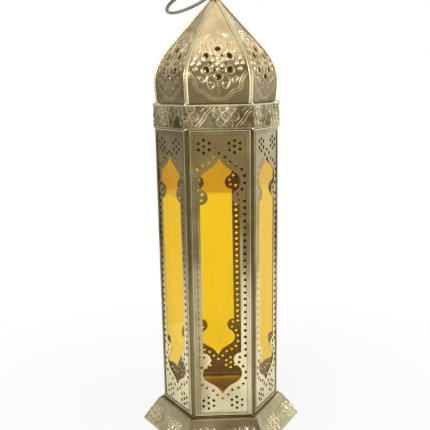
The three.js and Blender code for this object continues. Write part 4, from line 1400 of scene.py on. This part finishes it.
class LANTERN_OT_dome_ribs(bpy.types.Operator):
    """Folded strips over the dome's corner seams, with two raised edges and a hollow between them"""
    bl_idname = "lantern.dome_ribs"
    bl_label = "Dome Ribs"

    ROWS = 90
    HALF_WIDTH = 2.15
    GAP = 0.3
    PROFILE = ((-1.0, 0.28), (-0.99, 0.62), (-0.93, 0.95), (-0.8, 1.08), (-0.64, 0.94), (-0.5, 0.66),
               (0.0, 0.6), (0.5, 0.66), (0.64, 0.94), (0.8, 1.08), (0.93, 0.95), (0.99, 0.62), (1.0, 0.28))

    def execute(self, context):
        line = dome_line(self.ROWS)
        profile = np.array(self.PROFILE)
        under = profile[::-1][1:-1] * [0.92, 0] + [0, self.GAP]
        section = np.concatenate([profile, under])
        radius, rise = line[:, 0][:, None], line[:, 1][:, None]
        width = np.minimum(self.HALF_WIDTH, radius / 2 - 0.3)
        along_face = section[:, 0][None, :] * width
        lift = section[:, 1][None, :] * np.clip(width / self.HALF_WIDTH, 0.4, 1)
        for rib in range(SIDES):
            wander = 0.1 * ripple(rise, 0 * rise, 300 + rib)
            out = radius + lift / FLAT - np.abs(along_face) * math.sin(math.pi / SIDES)
            side = (along_face + wander) * FLAT
            angle = math.radians(-60) + rib * 2 * math.pi / SIDES
            x = out * math.cos(angle) - side * math.sin(angle)
            y = out * math.sin(angle) + side * math.cos(angle)
            height = GORE_LOW[2] + rise + 0 * side
            points, faces = closed_tube(np.stack([x, y, height], -1))
            # Raised edges lighter and the hollow darker: partly wear and tarnish, partly painted highlight.
            worn_and_shaded = np.tile(np.clip((section[:, 1] - 0.75) * 3, -0.5, 0.8), self.ROWS)
            mesh_piece(f"rib_{rib + 1}", points, outward(points, faces), ("rib_brass",), "lantern",
                       (f"dome_rib_{rib + 1}",), worn_and_shaded, 0.6, sharp=50)
        return {"FINISHED"}


class LANTERN_OT_apex(bpy.types.Operator):
    """Turned cap on the dome's point, the wire eye on it and the ring that hangs in the eye"""
    bl_idname = "lantern.apex"
    bl_label = "Apex, Eye and Ring"

    EYE_WIRE = 2.2
    EYE_STEPS = 72
    RING_WIRE = 2.9
    RING_STEPS = 120
    SIDES = 20
    SPIGOT = 4.0

    # Radii of the cap's knob and how far up the cap each is
    KNOB = ((4.1, 0.22), (3.1, 0.34), (2.6, 0.44), (2.5, 0.5), (2.9, 0.56), (3.5, 0.63), (3.75, 0.71),
            (3.75, 0.77), (3.5, 0.86), (2.8, 0.95), (2.2, 0.99), (0.05, 1.0))

    def cap(self):
        low, high = CAP_LOW[2], CAP_HIGH[2]
        seat = low + self.SPIGOT
        tall = high - seat
        flange = (CAP_HIGH[0] - CAP_LOW[0]) / 2
        outline = [(0.05, low), (2.2, low), (2.3, low + 0.2), (2.3, seat), (flange - 0.2, seat),
                   (flange, seat + 0.25), (flange - 0.1, seat + 0.6), (flange - 0.6, seat + 1.0)]
        outline += [(radius, seat + share * tall) for radius, share in self.KNOB]
        points, faces = closed_tube(turned(outline, 40))
        mesh_piece("cap", points, outward(points, faces), ("dome_brass",), "lantern",
                   ("apex_cap",))

    def swing_frame(self):
        """Where the ring hangs and its two level directions: out towards the ring and along its axis."""
        joint = JOINTS["ring_swing"]
        axis = np.array(joint["axis"])
        out = np.array([-axis[1], axis[0], 0.0])
        return np.array(joint["pos_m"]) / MM, out, axis

    def bent_wire(self, name, line, thickness, body, node_name):
        """A closed loop of round wire as a piece."""
        loops = wire(line, thickness / 2, self.SIDES)
        faces = grid_faces(len(line), self.SIDES, close_rows=True, close_columns=True)
        mesh_piece(name, loops, outward(loops, faces.tolist()), ("wire_steel",), body,
                   (node_name,))

    def eye(self):
        out = self.swing_frame()[1]
        middle = np.array([0, 0, (EYE_LOW[2] + EYE_HIGH[2]) / 2])
        radius = (EYE_HIGH[2] - EYE_LOW[2] - self.EYE_WIRE) / 2
        angle = np.arange(self.EYE_STEPS) * 2 * math.pi / self.EYE_STEPS
        line = middle + radius * (np.outer(np.cos(angle), out) + np.outer(np.sin(angle), [0, 0, 1]))
        self.bent_wire("eye", line, self.EYE_WIRE, "lantern", "hanging_eye")

    def ring(self):
        """A circle through the hanging point, leaning down by the drop that its box shows."""
        hang, out, axis = self.swing_frame()
        size = RING_HIGH - RING_LOW
        drop_height = size[2] - self.RING_WIRE
        reach = np.linalg.norm((RING_LOW + RING_HIGH)[:2] / 2)
        radius = math.hypot(reach, drop_height / 2)
        drop = math.atan2(drop_height / 2, reach)
        towards = out * math.cos(drop) - np.array([0, 0, math.sin(drop)])
        if np.dot(out[:2], (RING_LOW + RING_HIGH)[:2]) < 0:
            towards = -out * math.cos(drop) - np.array([0, 0, math.sin(drop)])
        middle = hang + towards * radius
        angle = np.arange(self.RING_STEPS) * 2 * math.pi / self.RING_STEPS
        bow = radius + 0.18 * np.sin(2 * angle + 0.6) + 0.1 * np.sin(5 * angle)
        line = middle - np.outer(np.cos(angle) * bow, towards) + np.outer(np.sin(angle) * bow, axis)
        self.bent_wire("ring", line, self.RING_WIRE, "ring", "hanging_ring")

    def execute(self, context):
        self.cap()
        self.eye()
        self.ring()
        return {"FINISHED"}


class LANTERN_OT_door_fittings(bpy.types.Operator):
    """The door's hinge leaves and pins, and its latch hook, post and stud"""
    bl_idname = "lantern.door_fittings"
    bl_label = "Door Fittings"

    NODES = ("lower_hinge_fixed_leaf", "lower_hinge_door_leaf", "lower_hinge_pin", "upper_hinge_fixed_leaf",
             "upper_hinge_door_leaf", "upper_hinge_pin", "latch_post", "latch_stud", "latch_hook")

    def execute(self, context):
        for name in self.NODES:
            part = frame["nodes"][name]
            part.data.materials.clear()
            label = "bar_brass" if name.endswith("leaf") else "wire_steel"
            part.data.materials.append(material_named(label))
        return {"FINISHED"}


class LANTERN_OT_solder(bpy.types.Operator):
    """Beads of solder at the corners of the frames, the frieze and the ribs' feet"""
    bl_idname = "lantern.solder"
    bl_label = "Solder Beads"

    STEPS = 14
    ROWS = 9
    FLATNESS = 0.6
    CORNER_RADIUS = 54.4

    def bead(self, middle, size, seed):
        """A flattened ball with a slow wobble of its radius."""
        rng = np.random.default_rng(seed)
        tilt = np.linspace(0.02, math.pi - 0.02, self.ROWS)[:, None]
        turn = (np.arange(self.STEPS) * 2 * math.pi / self.STEPS)[None, :]
        wobble = 1 + 0.16 * np.sin(turn * 2 + rng.uniform(0, 6)) * np.sin(tilt)
        wobble = wobble + 0.1 * np.cos(3 * turn + 2 * tilt)
        x = np.sin(tilt) * np.cos(turn) * wobble
        y = np.sin(tilt) * np.sin(turn) * wobble
        z = np.cos(tilt) + 0 * turn
        out = np.array([middle[0], middle[1], 0.0])
        out /= np.linalg.norm(out)
        along = np.cross([0, 0, 1], out)
        loops = (np.array(middle) + size * (x[..., None] * along + z[..., None] * np.array([0, 0, 1.0]))
                 + size * self.FLATNESS * y[..., None] * out)
        return closed_tube(loops)

    def execute(self, context):
        on_frieze, on_corner = FRIEZE_HIGH[0] - 0.3, self.CORNER_RADIUS
        spots = ((on_frieze, FRIEZE_HIGH[2] - 0.2, 1.15), (on_frieze, FRIEZE_LOW[2] + 0.2, 1.0),
                 (on_corner, GORE_LOW[2] + 0.4, 1.2), (on_corner, PANEL_FOOT - 0.1, 0.6))
        places = [((*(hexagon_corner(corner) * radius), height), size)
                  for corner in range(SIDES) for radius, height, size in spots]
        rng = np.random.default_rng(7)
        points, faces = joined([self.bead(middle, size * rng.uniform(0.8, 1.15), i)
                                for i, (middle, size) in enumerate(places)])
        mesh_piece("solder_beads", points, faces, ("solder_tin",), "lantern")
        return {"FINISHED"}


# Studio

class LANTERN_OT_stage(bpy.types.Operator):
    """Plain pale floor, soft studio lights and the camera"""
    bl_idname = "lantern.stage"
    bl_label = "Stage"

    CAMERA_PLACE = (-0.026258, -0.638013, 0.316376)
    CAMERA_AIM = (-0.002845, 0.0, 0.197878)
    CAMERA_ROLL = -0.922
    LENS = 59.106
    FLOOR_RINGS = (1.0, 400.0, 1500.0, 6000.0)
    FLOOR_STEPS = 48

    # Each light's name, place, aim, size and its share of the key light's power
    LIGHTS = (
        ("key", (-0.9, -1.5, 0.9), (0, 0, 0.2), 0.9, 3.0),
        ("fill", (1.5, -0.9, 0.6), (0, 0, 0.2), 1.2, 1.6),
        ("back", (0.3, 1.6, 1.1), (0, 0, 0.25), 1.0, 1.5),
    )

    def floor(self, colour):
        """A wide disc under the lantern. It looks nearly white to the camera and keeps the shadow."""
        rows = turned([(ring, 0.0) for ring in self.FLOOR_RINGS], self.FLOOR_STEPS)
        faces = [tuple(f[::-1]) for f in grid_faces(len(rows), self.FLOOR_STEPS, close_columns=True)]
        faces.append(cap_face(self.FLOOR_STEPS, 0))
        mesh = bpy.data.meshes.new("floor")
        mesh.from_pydata(rows.reshape(-1, 3) * MM, [], faces)
        floor = bpy.data.objects.new("floor", mesh)
        bpy.context.scene.collection.objects.link(floor)
        material = bpy.data.materials.new("floor")
        material.use_nodes = True
        tree = material.node_tree
        shader = tree.nodes["Principled BSDF"]
        shader.inputs["Base Color"].default_value = (*colour, 1.0)
        shader.inputs["Roughness"].default_value = 0.9
        shader.inputs["Specular IOR Level"].default_value = 0.1
        path = node(tree, "ShaderNodeLightPath")
        seen = arithmetic(tree, "MAXIMUM", path.outputs["Is Camera Ray"], path.outputs["Is Glossy Ray"])
        seen = arithmetic(tree, "MAXIMUM", seen, path.outputs["Is Transmission Ray"])
        glow = node(tree, "ShaderNodeEmission")
        mix = node(tree, "ShaderNodeMixShader")
        place = node(tree, "ShaderNodeTexCoord").outputs["Object"]
        away = node(tree, "ShaderNodeVectorMath", operation="LENGTH")
        tree.links.new(place, away.inputs[0])
        split = node(tree, "ShaderNodeSeparateXYZ")
        tree.links.new(place, split.inputs[0])
        dimmed = spread(tree, split.outputs["X"], -0.7, -0.1, 0.5, 0.0)
        dimmed = arithmetic(tree, "MULTIPLY", dimmed, path.outputs["Is Glossy Ray"])
        tree.links.new(arithmetic(tree, "SUBTRACT", 1.0, dimmed), glow.inputs["Strength"])
        white = spread(tree, away.outputs["Value"], 0.1, 0.4, 0.8, 1.0)
        tree.links.new(arithmetic(tree, "MULTIPLY", seen, white), mix.inputs[0])
        tree.links.new(shader.outputs[0], mix.inputs[1])
        tree.links.new(glow.outputs[0], mix.inputs[2])
        tree.links.new(mix.outputs[0], tree.nodes["Material Output"].inputs["Surface"])
        mesh.materials.append(material)

    def world(self, level):
        """Plain light all round; white where the camera, a reflection or the glass sees it."""
        world = bpy.data.worlds.new("studio")
        world.use_nodes = True
        tree = world.node_tree
        background = tree.nodes["Background"]
        path = node(tree, "ShaderNodeLightPath")
        seen = arithmetic(tree, "MAXIMUM", path.outputs["Is Camera Ray"],
                          path.outputs["Is Transmission Ray"])
        place = node(tree, "ShaderNodeTexCoord").outputs["Generated"]
        split = node(tree, "ShaderNodeSeparateXYZ")
        tree.links.new(place, split.inputs[0])
        ceiling = arithmetic(tree, "ADD", spread(tree, split.outputs["Z"], 0.05, 0.45, 1.0, 0.6),
                             spread(tree, split.outputs["Z"], 0.6, 0.95, 0.0, 0.7))
        side = spread(tree, split.outputs["X"], -1.0, 0.3, 0.5, 1.0)
        glossy = arithmetic(tree, "MULTIPLY", path.outputs["Is Glossy Ray"], ceiling)
        glossy = arithmetic(tree, "MULTIPLY", glossy, side)
        strength = arithmetic(tree, "MAXIMUM", arithmetic(tree, "MAXIMUM", seen, glossy), level)
        tree.links.new(strength, background.inputs["Strength"])
        background.inputs["Color"].default_value = (1.0, 1.0, 1.0, 1.0)
        bpy.context.scene.world = world

    def light(self, name, place, aim, size, power):
        data = bpy.data.lights.new(name, "AREA")
        data.size = size
        data.energy = power
        lamp = bpy.data.objects.new(name, data)
        lamp.location = place
        lamp.rotation_euler = (Vector(aim) - Vector(place)).to_track_quat("-Z", "Y").to_euler()
        bpy.context.scene.collection.objects.link(lamp)

    def camera(self):
        data = bpy.data.cameras.new("camera")
        data.lens = self.LENS
        data.sensor_width = 36.0
        camera = bpy.data.objects.new("camera", data)
        place, aim = Vector(self.CAMERA_PLACE), Vector(self.CAMERA_AIM)
        ahead = (aim - place).normalized()
        right = ahead.cross(Vector((0, 0, 1))).normalized()
        up = right.cross(ahead)
        roll = math.radians(self.CAMERA_ROLL)
        side = right * math.cos(roll) + up * math.sin(roll)
        top = up * math.cos(roll) - right * math.sin(roll)
        camera.matrix_world = Matrix.Translation(place) @ Matrix((side, top, -ahead)).transposed().to_4x4()
        bpy.context.scene.collection.objects.link(camera)
        bpy.context.scene.camera = camera

    def execute(self, context):
        studio = context.scene.lantern_studio
        self.floor(studio.floor_colour)
        self.world(studio.world_level)
        for name, place, aim, size, share in self.LIGHTS:
            self.light(name, place, aim, size, studio.key_power * share)
        self.camera()
        context.scene.view_settings.view_transform = "Standard"
        return {"FINISHED"}


PIECES = (
    LANTERN_OT_base_skirt,
    LANTERN_OT_floor_plate,
    LANTERN_OT_panel_frames,
    LANTERN_OT_corner_seams,
    LANTERN_OT_pierced_sheets,
    LANTERN_OT_glass_panes,
    LANTERN_OT_frieze_band,
    LANTERN_OT_dome_gores,
    LANTERN_OT_dome_ribs,
    LANTERN_OT_apex,
    LANTERN_OT_door_fittings,
    LANTERN_OT_solder,
    LANTERN_OT_stage,
)


class LANTERN_PT_panel(bpy.types.Panel):
    """Sizes, finishes and a button for each piece of the lantern"""
    bl_idname = "LANTERN_PT_panel"
    bl_label = "Lantern"
    bl_space_type = "VIEW_3D"
    bl_region_type = "UI"
    bl_category = "Lantern"

    def draw(self, context):
        for group in GROUPS:
            box = self.layout.box()
            holder = getattr(context.scene, group)
            for name in holder.__annotations__:
                box.prop(holder, name)
        for piece in PIECES:
            self.layout.operator(piece.bl_idname)


GROUPS = {
    "lantern_panel_sizes": LanternPanelSizes,
    "lantern_relief": LanternReliefSizes,
    "lantern_finish": LanternFinish,
    "lantern_studio": LanternStudio,
}
CLASSES = (*GROUPS.values(), *PIECES, LANTERN_PT_panel)


def register():
    for kind in CLASSES:
        bpy.utils.register_class(kind)
    for name, kind in GROUPS.items():
        setattr(bpy.types.Scene, name, PointerProperty(type=kind))


def unregister():
    for name in GROUPS:
        delattr(bpy.types.Scene, name)
    for kind in reversed(CLASSES):
        bpy.utils.unregister_class(kind)


def main():
    register()
    for piece in PIECES:
        family, name = piece.bl_idname.split(".")
        getattr(getattr(bpy.ops, family), name)()


if __name__ == "__main__":
    main()
